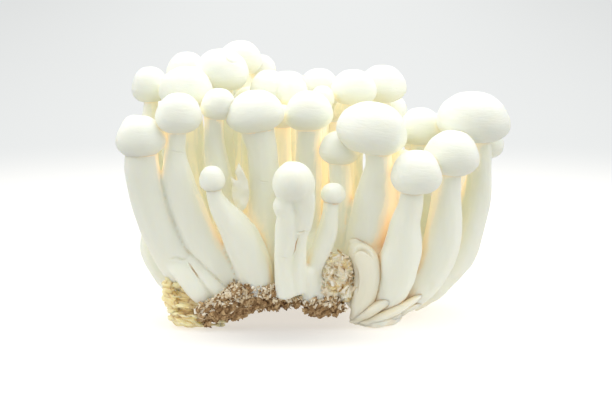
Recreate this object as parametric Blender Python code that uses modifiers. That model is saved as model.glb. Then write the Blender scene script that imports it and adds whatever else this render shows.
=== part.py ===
"""White shimeji: one clump of mushrooms grown together at the foot, and the sawdust crust that clings to it.

Sizes are in millimetres in the tables and become metres where they meet Blender. x runs to the right of the photograph,
y away from its camera and z up. The origin lies on the surface, under the middle of the clump.
"""

import math
import random

import bmesh
import bpy
from mathutils import Euler, Matrix, Vector

MM = 0.001
FLAT_ANGLE = 9  # degrees: the union's faces that meet flatter than this become one
GAP = 0.3  # between the flesh and the sawdust
SEED = 7

# A cap's half outline from the top to the middle of its underside, as shares of its radius and its height, the steps
# it is turned in and its stem's bevel resolution: for a mushroom of the front rows, and for one further back.
FRONT_CAP = ((0.0, 0.5), (0.46, 0.43), (0.84, 0.23), (1.0, -0.04), (0.88, -0.3), (0.52, -0.48), (0.0, -0.4))
BACK_CAP = ((0.0, 0.5), (0.52, 0.41), (0.93, 0.12), (0.96, -0.17), (0.6, -0.47), (0.0, -0.4))
FRONT_DETAIL = (FRONT_CAP, 12, 3)
BACK_DETAIL = (BACK_CAP, 9, 2)
BACK_FROM = -8.5  # y

# name, middle of the cap, its width, its height, its lean to the right, and the stem from under the cap down to the
# root as (x, y, z, width).
MUSHROOMS = [
    ("left_outer", (-53, -24, 59), 15.5, 12, -0.08,
     [(-53, -24, 54.5, 9), (-53, -24, 49, 10), (-51.5, -23.5, 42, 10.5), (-49, -23, 34, 11.5),
      (-46, -23, 26.5, 11.5), (-42.5, -22.5, 19.5, 11.5), (-38.5, -22, 12.5, 10), (-34, -22, 7, 8.5)]),
    ("left_behind", (-56, -8, 58), 10.5, 10.5, -0.05,
     [(-55.5, -8, 52, 5.5), (-55, -8, 42.5, 7), (-52, -8, 31.5, 9), (-47, -8, 20, 10),
      (-41.5, -8, 9.5, 9.5), (-38.5, -8, 4.5, 8)]),
    ("left_second", (-41.5, -24, 66), 14.5, 12, 0,
     [(-42, -24, 60, 6), (-42.5, -24, 54, 6.5), (-42, -24, 47.5, 9), (-40.5, -24, 41.5, 10),
      (-38, -24, 35, 10.5), (-35, -24, 28, 10.5), (-31, -24, 21.5, 10), (-27, -24, 16, 8.5),
      (-23.5, -24, 11, 6.5)]),
    ("left_slim", (-29.5, -18, 68), 11, 9.5, 0.05,
     [(-31, -18, 63.5, 6), (-31, -17.5, 55, 7), (-30, -17, 47, 8), (-28, -16, 37.5, 8),
      (-24, -15.5, 26.5, 8), (-20, -14.5, 15, 7.5), (-18.5, -14, 10, 7)]),
    ("bud_left", (-31, -31, 47), 8, 7.5, -0.1,
     [(-31, -31, 44.5, 4.5), (-30, -30.5, 40.5, 5.5), (-28, -30, 36.5, 7.5), (-25, -29.5, 32.5, 9.5),
      (-22, -29, 27.5, 11), (-19.5, -28.5, 22, 11), (-18, -27.5, 16.5, 10.5), (-17, -27, 10.5, 9)]),
    ("centre_left", (-18.5, -19, 66), 18, 12.5, -0.12,
     [(-17.5, -19, 60.5, 10), (-16, -19, 54, 9.5), (-15.5, -18.5, 46, 9.5), (-15.5, -18.5, 38, 10),
      (-15.5, -18.5, 28.5, 10.5), (-15, -18, 19, 10.5), (-14, -18, 10, 10)]),
    ("centre_front", (-6.5, -36, 47), 12.5, 11.5, 0,
     [(-4, -36, 42.5, 7), (-3.5, -35, 37.5, 6.5), (-3.5, -34.5, 33, 5.5), (-4, -34, 30, 4),
      (-4.5, -33, 25.5, 4), (-5, -32, 19.5, 5), (-6, -31, 12, 6.5)]),
    ("centre_front_low", (-9.5, -36.5, 40), 6.5, 5.5, -0.1,
     [(-8.5, -36.5, 37.5, 5.5), (-8.5, -35.5, 33.5, 6.5), (-9, -34.5, 27, 5.5), (-9.5, -33, 21.5, 5),
      (-9, -32, 16.5, 6), (-8, -31, 10.5, 7.5)]),
    ("centre_back", (-2, -14, 65.5), 15, 12, 0,
     [(-2, -14, 59.5, 7.5), (-2, -13.5, 50, 7.5), (-2, -13, 37, 8), (-2.5, -12.5, 21, 8),
      (-3, -12, 10, 8)]),
    ("bud_right", (5.5, -31, 42.5), 7.5, 6, 0,
     [(5, -31, 40, 4.5), (4.5, -30.5, 35.5, 5), (3.5, -29.5, 29.5, 6), (1.5, -29, 24, 6),
      (-0.5, -28, 18, 6), (-2, -27, 10.5, 6)]),
    ("centre_right", (7.5, -18, 54.5), 12.5, 10, 0.05,
     [(7.5, -18, 50, 6.5), (8, -17.5, 41, 7), (8, -17, 31.5, 7), (7.5, -16.5, 20.5, 7),
      (6.5, -16, 10, 7.5)]),
    ("big_cap", (17.5, -24, 61.5), 22, 15.5, 0.15,
     [(19, -24, 55, 8), (19.5, -23.5, 50, 8.5), (18.5, -22.5, 44.5, 10), (18, -22, 38, 12.5),
      (16.5, -21, 31, 12.5), (15, -20, 24, 11.5), (14, -19, 17, 10.5), (13.5, -18, 7.5, 10)]),
    ("right_front", (30.5, -31, 49), 16, 13, 0,
     [(29.5, -31, 43.5, 6.5), (29, -30.5, 38.5, 7.5), (27.5, -29.5, 32.5, 9.5), (27, -28.5, 26, 11.5),
      (25.5, -28, 20.5, 12), (24.5, -27, 14.5, 11), (22, -26.5, 9, 8.5), (20, -26, 5, 6)]),
    ("right_tucked", (27, -21, 49), 10, 10.5, 0,
     [(27.5, -21, 43, 5.5), (27, -20, 33.5, 7), (26, -19, 22.5, 7.5), (24, -18, 9, 7.5)]),
    ("right_second", (42, -22, 53.5), 17.5, 13.5, 0.1,
     [(41, -22, 46, 7.5), (40.5, -21.5, 38.5, 9), (40, -21.5, 31, 11), (38.5, -21, 23, 11.5),
      (35.5, -20.5, 16, 11), (31, -20, 9.5, 9.5), (25.5, -20, 4.5, 7)]),
    ("right_outer", (49.5, -10, 63), 23, 15.5, 0.02,
     [(51.5, -10, 55, 6.5), (51.5, -10, 45.5, 7.5), (51, -10, 36.5, 8.5), (49, -10, 28.5, 9),
      (46.5, -10, 20.5, 9.5), (42, -10, 14, 9), (36.5, -10, 8.5, 8.5), (29.5, -10, 3.5, 6.5)]),
    ("right_behind", (55, 4, 53.5), 11.5, 10.5, 0.15,
     [(53, 4, 48, 6), (51, 3.5, 37.5, 7), (47.5, 3, 26, 8.5), (42, 2.5, 15.5, 8.5), (34, 2, 6.5, 7.5),
      (27, 2, 2.5, 7)]),
    ("right_inner", (33.5, -2, 59), 14.5, 11.5, 0,
     [(33.5, -2, 54, 6), (34.5, -2, 41.5, 7), (35, -2, 29, 7.5), (32, -2, 16, 8.5), (27, -2, 4, 8.5)]),
    ("upper_left", (-52, 0, 72), 12, 11, -0.05,
     [(-51.5, 0, 67, 4.5), (-52, -0.5, 54.5, 6.5), (-51, -1, 38.5, 7.5), (-47.5, -1.5, 22, 8.5),
      (-40.5, -2, 5.5, 8.5)]),
    ("upper_left_wide", (-40, -8, 72), 17, 13, 0,
     [(-40, -8, 66, 7.5), (-39.5, -8, 52, 8), (-38.5, -8, 36.5, 9), (-35.5, -8, 20, 9),
      (-32, -8, 6.5, 9)]),
    ("upper_left_back", (-41, 10, 75.5), 13.5, 11.5, -0.05,
     [(-41, 10, 69.5, 6), (-41, 9, 49.5, 7), (-39.5, 7.5, 27, 8), (-35, 6, 4, 7.5)]),
    ("split_cap", (-29.5, 2, 76.5), 18, 13, 0,
     [(-29.5, 2, 70.5, 7), (-29.5, 1.5, 51, 7.5), (-28.5, 0.5, 28.5, 8.5), (-27, 0, 10, 8.5)]),
    ("top_back", (-24, 20, 78.5), 14.5, 11, 0,
     [(-24, 20, 72.5, 6.5), (-24, 17, 48.5, 7.5), (-24.5, 14.5, 25.5, 8), (-24.5, 12, 10, 8)]),
    ("top_back_small", (-17.5, 24, 75), 10, 8, 0.1,
     [(-18, 24, 71.5, 5.5), (-18, 21, 48, 6.5), (-19, 18.5, 25, 7), (-20.5, 16, 10, 7)]),
    ("mid_left", (-14.5, 0, 71.5), 12, 10, 0,
     [(-15, 0, 67, 6), (-15, 0, 51, 7), (-15, 0, 28.5, 7.5), (-15.5, 0, 10, 7.5)]),
    ("mid_centre", (-7.5, -2, 70.5), 11, 9, 0.05,
     [(-7.5, -2, 66.5, 5.5), (-8, -1.5, 51, 6.5), (-8, -0.5, 28.5, 7), (-8.5, 0, 10, 7)]),
    ("back_centre", (1.5, 14, 70.5), 13.5, 10, 0,
     [(1.5, 14, 65.5, 6), (1, 13, 49, 6.5), (0.5, 11.5, 26.5, 7.5), (-0.5, 10, 10, 7.5)]),
    ("mid_bud", (2.5, 0, 68), 8, 7, 0,
     [(2, 0, 64.5, 4.5), (1.5, -1, 51, 5), (1, -2.5, 29, 5.5), (0, -4, 10, 5.5)]),
    ("mid_right", (12.5, 6, 70.5), 15, 11, 0,
     [(12, 6, 65, 6), (12, 5.5, 50, 7), (11.5, 5, 27.5, 7.5), (9.5, 4, 10, 7.5)]),
    ("back_right", (22, 20, 70), 16, 12, 0,
     [(21.5, 20, 64.5, 6), (21, 18.5, 48.5, 7), (19.5, 16, 25.5, 8), (17, 14, 3, 8)]),
]

# Stems with no cap: flattened bases, the rounded stub at the front right and a fold at the middle.
BASES = [
    ("left_wedge",
     [(-36.5, -26, 21.5, 3.5), (-33, -26, 17, 5), (-30, -26, 13, 5.5), (-27.5, -26, 9, 5)]),
    ("left_sliver",
     [(-29, -21, 26.5, 2.5), (-27.5, -22, 21.5, 4.5), (-25, -23, 16.5, 4.5), (-23, -24, 11, 4.5)]),
    ("left_bulge",
     [(-52.5, -16, 26.5, 3), (-51.5, -16, 22, 5.5), (-48.5, -16, 17, 7.5), (-43.5, -16, 10.5, 8.5),
      (-39.5, -16, 6, 8.5)]),
    ("centre_fold",
     [(-1.5, -31, 17.5, 4), (-1.5, -30, 14, 5), (-2, -29, 10, 5.5)]),
    ("right_curl",
     [(13.5, -29, 25.5, 5), (15, -28.5, 22.5, 8), (15.5, -28.5, 17.5, 8), (15, -28, 11.5, 8),
      (13.5, -27.5, 6.5, 6), (12.5, -27, 10, 3.5)]),
]

# The mushrooms that the photograph doesn't show stand behind the others: each cap's place in plan, the height of its
# middle and its width. The rest is drawn from the seed.
BEHIND = [
    (-48.5, 15, 60, 13),
    (-40.5, 27, 66, 14),
    (-33, 33, 65, 16),
    (-21, 36, 62, 15),
    (-9, 32, 67, 16),
    (4, 35, 61, 15),
    (13, 29, 66, 14),
    (24, 33, 60, 15),
    (34, 22, 54, 14),
    (49, 15, 57, 14),
    (-6, 13, 67, 14),
    (30, 9, 44, 12),
    (40, 10, 57, 12),
    (9, -5, 53, 12),
    (21, -6, 57, 13),
    (11.5, 17, 62, 10),
    (-10, -9, 63, 9),
    (-21, 11, 66, 11),
    (43, 2, 51, 11),
]

# name, middle, half sizes, turn in degrees, roughness: the lumps of flesh that the stems grow from.
LUMPS = [
    ("butt_left", (-36.5, -4, 7), (9.5, 23, 9.5), (0, 6, 0), 0.07),
    ("butt_left_top", (-36, -3, 15), (8.5, 21, 8), (0, 20, 0), 0.07),
    ("fold_left_low", (-38, -20.5, 2.4), (7.8, 10, 3.8), (0, 3, 6), 0.1),
    ("fold_left_mid", (-40.3, -21, 7.4), (6.8, 9.5, 3.2), (0, 10, 0), 0.1),
    ("fold_left_high", (-41.5, -20, 12.6), (6.4, 8.5, 3.2), (0, 26, 0), 0.1),
    ("bridge", (-6, -2, 18), (31, 21, 13), (0, 0, 0), 0.04),
    ("butt_right", (19.5, -1, 7.5), (10.5, 23, 9.5), (0, -12, 0), 0.07),
    ("butt_right_top", (22, -1, 13), (9.5, 22, 8), (0, -30, 0), 0.07),
    ("slab_right_low", (19.5, -19.5, 2.6), (8.0, 10, 3.6), (0, -6, 0), 0.08),
    ("slab_right_mid", (23, -20, 5.8), (10.6, 9, 2.6), (0, -20, 0), 0.08),
    ("slab_right_high", (18.5, -21, 8.6), (8.0, 7.5, 2.4), (0, -36, 0), 0.08),
    ("slab_right_tip", (12.8, -22.5, 3.2), (3.6, 5.5, 2.4), (0, 40, 0), 0.08),
    ("torn_stub", (7.0, -26, 17.5), (5.2, 6.5, 6.2), (0, 0, 0), 0.16),
]

# The torn flap of stem between left_slim and centre_left: its outline seen from the front as (x, z), and its depth.
FLAP_Y, FLAP_THICK = -20, 1.6
FLAP = [
    (-23.2, 50.7), (-21.7, 47.9), (-20.5, 44.8), (-19.6, 41.7), (-19.6, 38.5), (-20.6, 35.3), (-22.1, 33.4),
    (-23.3, 34.2), (-24.3, 37.3), (-25.2, 39.2), (-25.5, 41.7), (-25.1, 43.8), (-25.6, 46.2), (-24.4, 45.3),
    (-23.4, 44.8), (-24.2, 47.3),
]

# The sawdust crust from left to right: x, the height of its underside at the front, of its top at the front, and of its
# top further in, where the flesh sits on it.
CRUST = [
    (-35.8, 2.2, 6.6, 5.0),
    (-32.6, 1.0, 9.2, 6.5),
    (-29.4, 3.2, 10.6, 8.0),
    (-26.4, 2.8, 13.4, 9.5),
    (-23.2, 3.2, 13.8, 10.0),
    (-20.4, 5.2, 14.4, 10.5),
    (-17.0, 5.5, 14.8, 11.0),
    (-13.6, 5.9, 13.4, 11.0),
    (-10.4, 6.3, 11.2, 11.0),
    (-7.0, 7.2, 10.2, 11.0),
    (-3.6, 7.2, 9.8, 10.5),
    (-1.8, 5.0, 9.8, 10.0),
    (1.4, 4.0, 9.8, 9.5),
    (4.0, 4.4, 10.2, 8.5),
    (6.4, 3.8, 9.0, 8.0),
    (9.4, 4.6, 7.4, 7.0),
]
# Each row of the crust, front to back: y, and how far its left and right ends draw in.
CRUST_ROWS = [
    (-32.3, 0.0, 0.0),
    (-30.5, 0.0, 0.2),
    (-27.0, 0.8, 1.2),
    (-22.0, 2.2, 0.4),
    (-16.0, 1.0, 2.2),
    (-9.0, 3.2, 0.8),
    (-2.0, 1.6, 2.6),
    (5.0, 3.6, 1.4),
    (11.0, 4.5, 4.0),
    (15.0, 9.0, 7.5),
]
CRUST_FRONT = 3  # rows that still belong to the front face
CRUMBS = 50


def clear():
    for obj in list(bpy.data.objects):
        bpy.data.objects.remove(obj)


def collection(name):
    made = bpy.data.collections.new(name)
    bpy.context.scene.collection.children.link(made)
    return made


def material(name, colour, roughness):
    made = bpy.data.materials.new(name)
    made.use_nodes = True
    shader = made.node_tree.nodes["Principled BSDF"]
    shader.inputs["Base Color"].default_value = (*colour, 1)
    shader.inputs["Roughness"].default_value = roughness
    return made


def mesh_object(name, mesh, home):
    obj = bpy.data.objects.new(name, mesh)
    home.objects.link(obj)
    return obj


def settled(obj):
    """The object's evaluated mesh, with its modifiers applied and its place written into the points."""
    bpy.context.view_layer.update()
    seen = obj.evaluated_get(bpy.context.evaluated_depsgraph_get())
    mesh = bpy.data.meshes.new_from_object(seen)
    mesh.transform(seen.matrix_world)
    grid = bmesh.new()
    grid.from_mesh(mesh)
    bmesh.ops.remove_doubles(grid, verts=grid.verts, dist=1e-7)
    bmesh.ops.recalc_face_normals(grid, faces=grid.faces)
    grid.to_mesh(mesh)
    grid.free()
    return mesh


def stem(name, points, resolution, home):
    """A round stem along (x, y, z, width) points: a curve with a bevel, made into a mesh."""
    curve = bpy.data.curves.new(name, "CURVE")
    curve.dimensions = "3D"
    curve.bevel_depth = MM
    curve.bevel_resolution = resolution
    curve.use_fill_caps = True
    line = curve.splines.new("POLY")
    line.points.add(len(points) - 1)
    for point, (x, y, z, width) in zip(line.points, points):
        point.co = (x * MM, y * MM, z * MM, 1)
        point.radius = width / 2
    guide = mesh_object(name + "_guide", curve, home)
    made = mesh_object(name, settled(guide), home)
    bpy.data.objects.remove(guide)
    return made


def cap(name, middle, width, height, lean, detail, home):
    """A button cap: half its outline, turned about its axis, then leaned and set on its stem."""
    mesh = bpy.data.meshes.new(name)
    outline = [(r * width / 2 * MM, 0, z * height * MM) for r, z in detail[0]]
    mesh.from_pydata(outline, [(i, i + 1) for i in range(len(outline) - 1)], [])
    turned = mesh_object(name + "_outline", mesh, home)
    screw = turned.modifiers.new("turn", "SCREW")
    screw.steps = screw.render_steps = detail[1]
    screw.use_merge_vertices = True
    screw.merge_threshold = 0.0001
    turned.matrix_world = Matrix.Translation(Vector(middle) * MM) @ Euler((0, lean, 0)).to_matrix().to_4x4()
    made = mesh_object(name, settled(turned), home)
    bpy.data.objects.remove(turned)
    return made


def lump(name, middle, half, turn, roughness, draw, home):
    """A rough ball of flesh."""
    grid = bmesh.new()
    bmesh.ops.create_uvsphere(grid, u_segments=10, v_segments=6, radius=1)
    for vert in grid.verts:
        vert.co *= 1 + draw.uniform(-roughness, roughness)
    turned = Euler([math.radians(a) for a in turn]).to_matrix().to_4x4()
    size = Matrix.Diagonal((*(Vector(half) * MM), 1))
    bmesh.ops.transform(grid, matrix=Matrix.Translation(Vector(middle) * MM) @ turned @ size, verts=grid.verts)
    mesh = bpy.data.meshes.new(name)
    grid.to_mesh(mesh)
    grid.free()
    return mesh_object(name, mesh, home)


def flap(home):
    """The torn flap: its outline, given a thickness."""
    grid = bmesh.new()
    face = grid.faces.new([grid.verts.new((x * MM, (FLAP_Y - FLAP_THICK / 2) * MM, z * MM)) for x, z in FLAP])
    moved = bmesh.ops.extrude_face_region(grid, geom=[face])["geom"]
    bmesh.ops.translate(grid, vec=(0, FLAP_THICK * MM, 0), verts=[v for v in moved if isinstance(v, bmesh.types.BMVert)])
    bmesh.ops.recalc_face_normals(grid, faces=grid.faces)
    mesh = bpy.data.meshes.new("flap")
    grid.to_mesh(mesh)
    grid.free()
    return mesh_object("flap", mesh, home)


def behind(draw):
    """The rows of the mushrooms at the back: each root lies nearer to the middle of the foot than its cap."""
    for number, (x, y, z, width) in enumerate(BEHIND):
        height, neck = width * draw.uniform(0.72, 0.84), 2.5 + width * draw.uniform(0.26, 0.32)
        root_x = -37 + (x + 53) * 0.63
        root_y, root_z = y * 0.45 - 2, 10 if -27.5 < root_x < 13 else 5
        points = []
        for share in (0.1, 0.5, 1.0):
            bend = share**1.6
            swell = math.sin(math.pi * min(1.0, share * 1.25)) * 1.4
            points.append((x + (root_x - x) * bend, y + (root_y - y) * bend, z - 5 + (root_z - z + 5) * share,
                           neck + swell + share))
        yield f"behind_{number}", (x, y, z), width, height, (x + 5) * 0.002, points


def crust_sheet(draw):
    """The crust's points, row by row: its underside and its top."""
    under, over = [], []
    last, end = len(CRUST_ROWS) - 1, len(CRUST) - 1
    for j, (y, left, right) in enumerate(CRUST_ROWS):
        for i, (x, low, front, inner) in enumerate(CRUST):
            edge = i in (0, end) or j in (0, last)
            shift_x, shift_y, dip = draw.uniform(-0.5, 0.5), draw.uniform(-0.6, 0.6), draw.uniform(-0.7, 0.7)
            drawn_in = left * (1 - i / end) ** 2 - right * (i / end) ** 2
            place = (x + shift_x + drawn_in, y + shift_y + 1.6 * (j == 0) * (i > 8) - (j == last) * abs(i - 8) * 0.5)
            rise = 0.7 if edge else 0.0
            top = front + dip * 0.6 if j < CRUST_FRONT else inner
            under.append((*place, max(0.4, low + 0.08 * j + rise + dip)))
            over.append((*(place if edge or j < CRUST_FRONT else (x + drawn_in, y)), top - rise))
    return under, over


def crust(name, grow, home):
    """The sawdust: two rough sheets joined round the edge, with crumbs on its face and its underside. grow swells it
    all over."""
    draw = random.Random(SEED)
    under, over = crust_sheet(draw)
    wide, deep = len(CRUST), len(CRUST_ROWS)
    count = wide * deep
    faces = []
    for j in range(deep - 1):
        for i in range(wide - 1):
            a, b, c, d = j * wide + i, j * wide + i + 1, (j + 1) * wide + i + 1, (j + 1) * wide + i
            faces += [(a, d, c), (a, c, b), (count + a, count + b, count + c), (count + a, count + c, count + d)]
    ring = [i for i in range(wide)] + [j * wide + wide - 1 for j in range(1, deep)]
    ring += [count - 1 - i for i in range(1, wide)] + [j * wide for j in range(deep - 2, 0, -1)]
    for a, b in zip(ring, ring[1:] + ring[:1]):
        faces += [(a, b, count + b), (a, count + b, count + a)]
    mesh = bpy.data.meshes.new(name)
    mesh.from_pydata([Vector(p) * MM for p in under + over], [], faces)
    for vert, normal in zip(mesh.vertices, [v.normal.copy() for v in mesh.vertices]):
        vert.co += normal * grow * 1.5 * MM
    made = mesh_object(name, mesh, home)
    crumbs = collection(name + "_crumbs")
    for number in range(CRUMBS):
        on_face = number < CRUMBS * 0.6
        if grow and not on_face:
            break  # those underneath reach no flesh
        inset = 1 if on_face else 4
        column, row = draw.randrange(inset, wide - inset), 0 if on_face else draw.randrange(1, deep - 1)
        low, high = Vector(under[row * wide + column]), Vector(over[row * wide + column])
        middle = low.lerp(high, draw.uniform(0.15, 0.85)) if on_face else low + Vector((0, 0, 0.5))
        crumb(f"crumb_{number}", middle, draw.uniform(1.0, 1.9), grow, draw, crumbs)
    join(made, crumbs, "UNION")
    bpy.data.collections.remove(crumbs)
    return made


def crumb(name, middle, radius, grow, draw, home):
    """One crumb of sawdust, kept above the surface that the clump stands on."""
    grid = bmesh.new()
    bmesh.ops.create_icosphere(grid, subdivisions=1, radius=(radius + 2 * grow) * MM)
    turn = Euler([draw.uniform(0, 3) for _ in range(3)]).to_matrix().to_4x4()
    squash = Matrix.Diagonal((1.0, draw.uniform(0.6, 1.0), draw.uniform(0.6, 0.9), 1))
    middle.z = max(middle.z, radius + 0.1)
    bmesh.ops.transform(grid, matrix=Matrix.Translation(middle * MM) @ turn @ squash, verts=grid.verts)
    mesh = bpy.data.meshes.new(name)
    grid.to_mesh(mesh)
    grid.free()
    return mesh_object(name, mesh, home)


def join(base, pieces, operation, solver="MANIFOLD"):
    """Unites a collection with the base, or takes it away, and leaves no helper behind."""
    modifier = base.modifiers.new("join", "BOOLEAN")
    modifier.operation = operation
    modifier.operand_type = "COLLECTION"
    modifier.collection = pieces
    modifier.solver = solver
    mesh = settled(base)
    base.modifiers.clear()
    base.data = mesh
    base.matrix_world = Matrix()
    for obj in list(pieces.objects):
        bpy.data.objects.remove(obj)


def thin(obj, angle):
    """Makes one face of those that lie nearly flat to each other, which the union left in slivers."""
    grid = bmesh.new()
    grid.from_mesh(obj.data)
    bmesh.ops.dissolve_limit(grid, angle_limit=math.radians(angle), verts=grid.verts, edges=grid.edges)
    bmesh.ops.triangulate(grid, faces=grid.faces)
    grid.to_mesh(obj.data)
    grid.free()


def keep_largest(obj):
    """Drops the crumbs of flesh that the cuts left loose."""
    grid = bmesh.new()
    grid.from_mesh(obj.data)
    unseen, bodies = set(grid.verts), []
    while unseen:
        body, edge = set(), {unseen.pop()}
        while edge:
            body |= edge
            edge = {e.other_vert(v) for v in edge for e in v.link_edges} - body
        unseen -= body
        bodies.append(body)
    largest = max(bodies, key=len)
    bmesh.ops.delete(grid, geom=[v for v in grid.verts if v not in largest], context="VERTS")
    grid.to_mesh(obj.data)
    grid.free()


def build_clump(home, pieces, cutters):
    draw = random.Random(SEED)
    for name, middle, width, height, lean, points in [*MUSHROOMS, *behind(draw)]:
        detail = FRONT_DETAIL if middle[1] < BACK_FROM else BACK_DETAIL
        cap(name + "_cap", middle, width, height, lean, detail, pieces)
        stem(name + "_stem", [(*middle, points[0][3]), *points], detail[2], pieces)
    for name, points in BASES:
        stem(name, points, BACK_DETAIL[2], pieces)
    for row in LUMPS:
        lump(*row, draw, pieces)
    flap(pieces)
    clump = pieces.objects["bridge"]
    pieces.objects.unlink(clump)
    home.objects.link(clump)
    clump.name = "mushroom_clump"
    join(clump, pieces, "UNION")
    thin(clump, FLAT_ANGLE)
    thin(crust("crust_room", GAP, cutters), 0.5)
    floor = bmesh.new()
    bmesh.ops.create_cube(floor, size=0.4, matrix=Matrix.Translation((0, 0, -0.2)))
    mesh = bpy.data.meshes.new("floor")
    floor.to_mesh(mesh)
    floor.free()
    mesh_object("floor", mesh, cutters)
    join(clump, cutters, "DIFFERENCE")
    keep_largest(clump)
    return clump


def main():
    clear()
    home, pieces, cutters = (collection(n) for n in ("white_shimeji", "pieces", "cutters"))
    clump = build_clump(home, pieces, cutters)
    sawdust = crust("sawdust_crust", 0, home)
    for obj, made in ((clump, material("mushroom_flesh", (0.86, 0.84, 0.76), 0.5)),
                      (sawdust, material("sawdust", (0.2, 0.12, 0.06), 0.9))):
        obj.data.materials.clear()
        obj.data.materials.append(made)


main()
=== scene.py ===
# %% [markdown]
# # A clump of white shimeji
# White shimeji grow as one clump: dozens of button-capped mushrooms that share one foot, with a crust of
# the sawdust they grew on still clinging underneath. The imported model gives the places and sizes. This
# lesson dresses it: each cap becomes a fine skin, the stems are melted into the foot they share, and the
# sawdust is made of thousands of flakes. All tables are in millimetres, x to the right of the camera, y
# away from it and z up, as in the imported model.

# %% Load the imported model
import math
import random

import bmesh
import bpy
import numpy as np
from mathutils import Euler, Matrix, Vector
from mathutils.bvhtree import BVHTree


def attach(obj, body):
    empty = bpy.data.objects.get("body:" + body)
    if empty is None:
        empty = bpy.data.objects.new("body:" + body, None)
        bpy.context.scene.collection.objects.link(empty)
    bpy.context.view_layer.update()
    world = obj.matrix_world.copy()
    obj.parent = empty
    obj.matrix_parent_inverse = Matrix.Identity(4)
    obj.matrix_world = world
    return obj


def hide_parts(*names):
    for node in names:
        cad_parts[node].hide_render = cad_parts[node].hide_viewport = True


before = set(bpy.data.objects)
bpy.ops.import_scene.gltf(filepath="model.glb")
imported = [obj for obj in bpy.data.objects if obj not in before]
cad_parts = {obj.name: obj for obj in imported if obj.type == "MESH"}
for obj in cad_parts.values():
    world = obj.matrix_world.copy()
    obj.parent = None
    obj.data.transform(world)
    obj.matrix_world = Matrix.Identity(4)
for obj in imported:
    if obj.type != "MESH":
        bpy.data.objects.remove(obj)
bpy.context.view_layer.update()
MM = 0.001
SEED = 7
print("nodes", sorted(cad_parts))

# %% [markdown]
# ## The mushrooms that can be seen
# A mushroom is a cap and the route of its stem. Each row holds the middle of the cap, its width, its
# height, its lean to the right in radians, and the stem from under the cap down to the root as (x, y, z,
# width).

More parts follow.
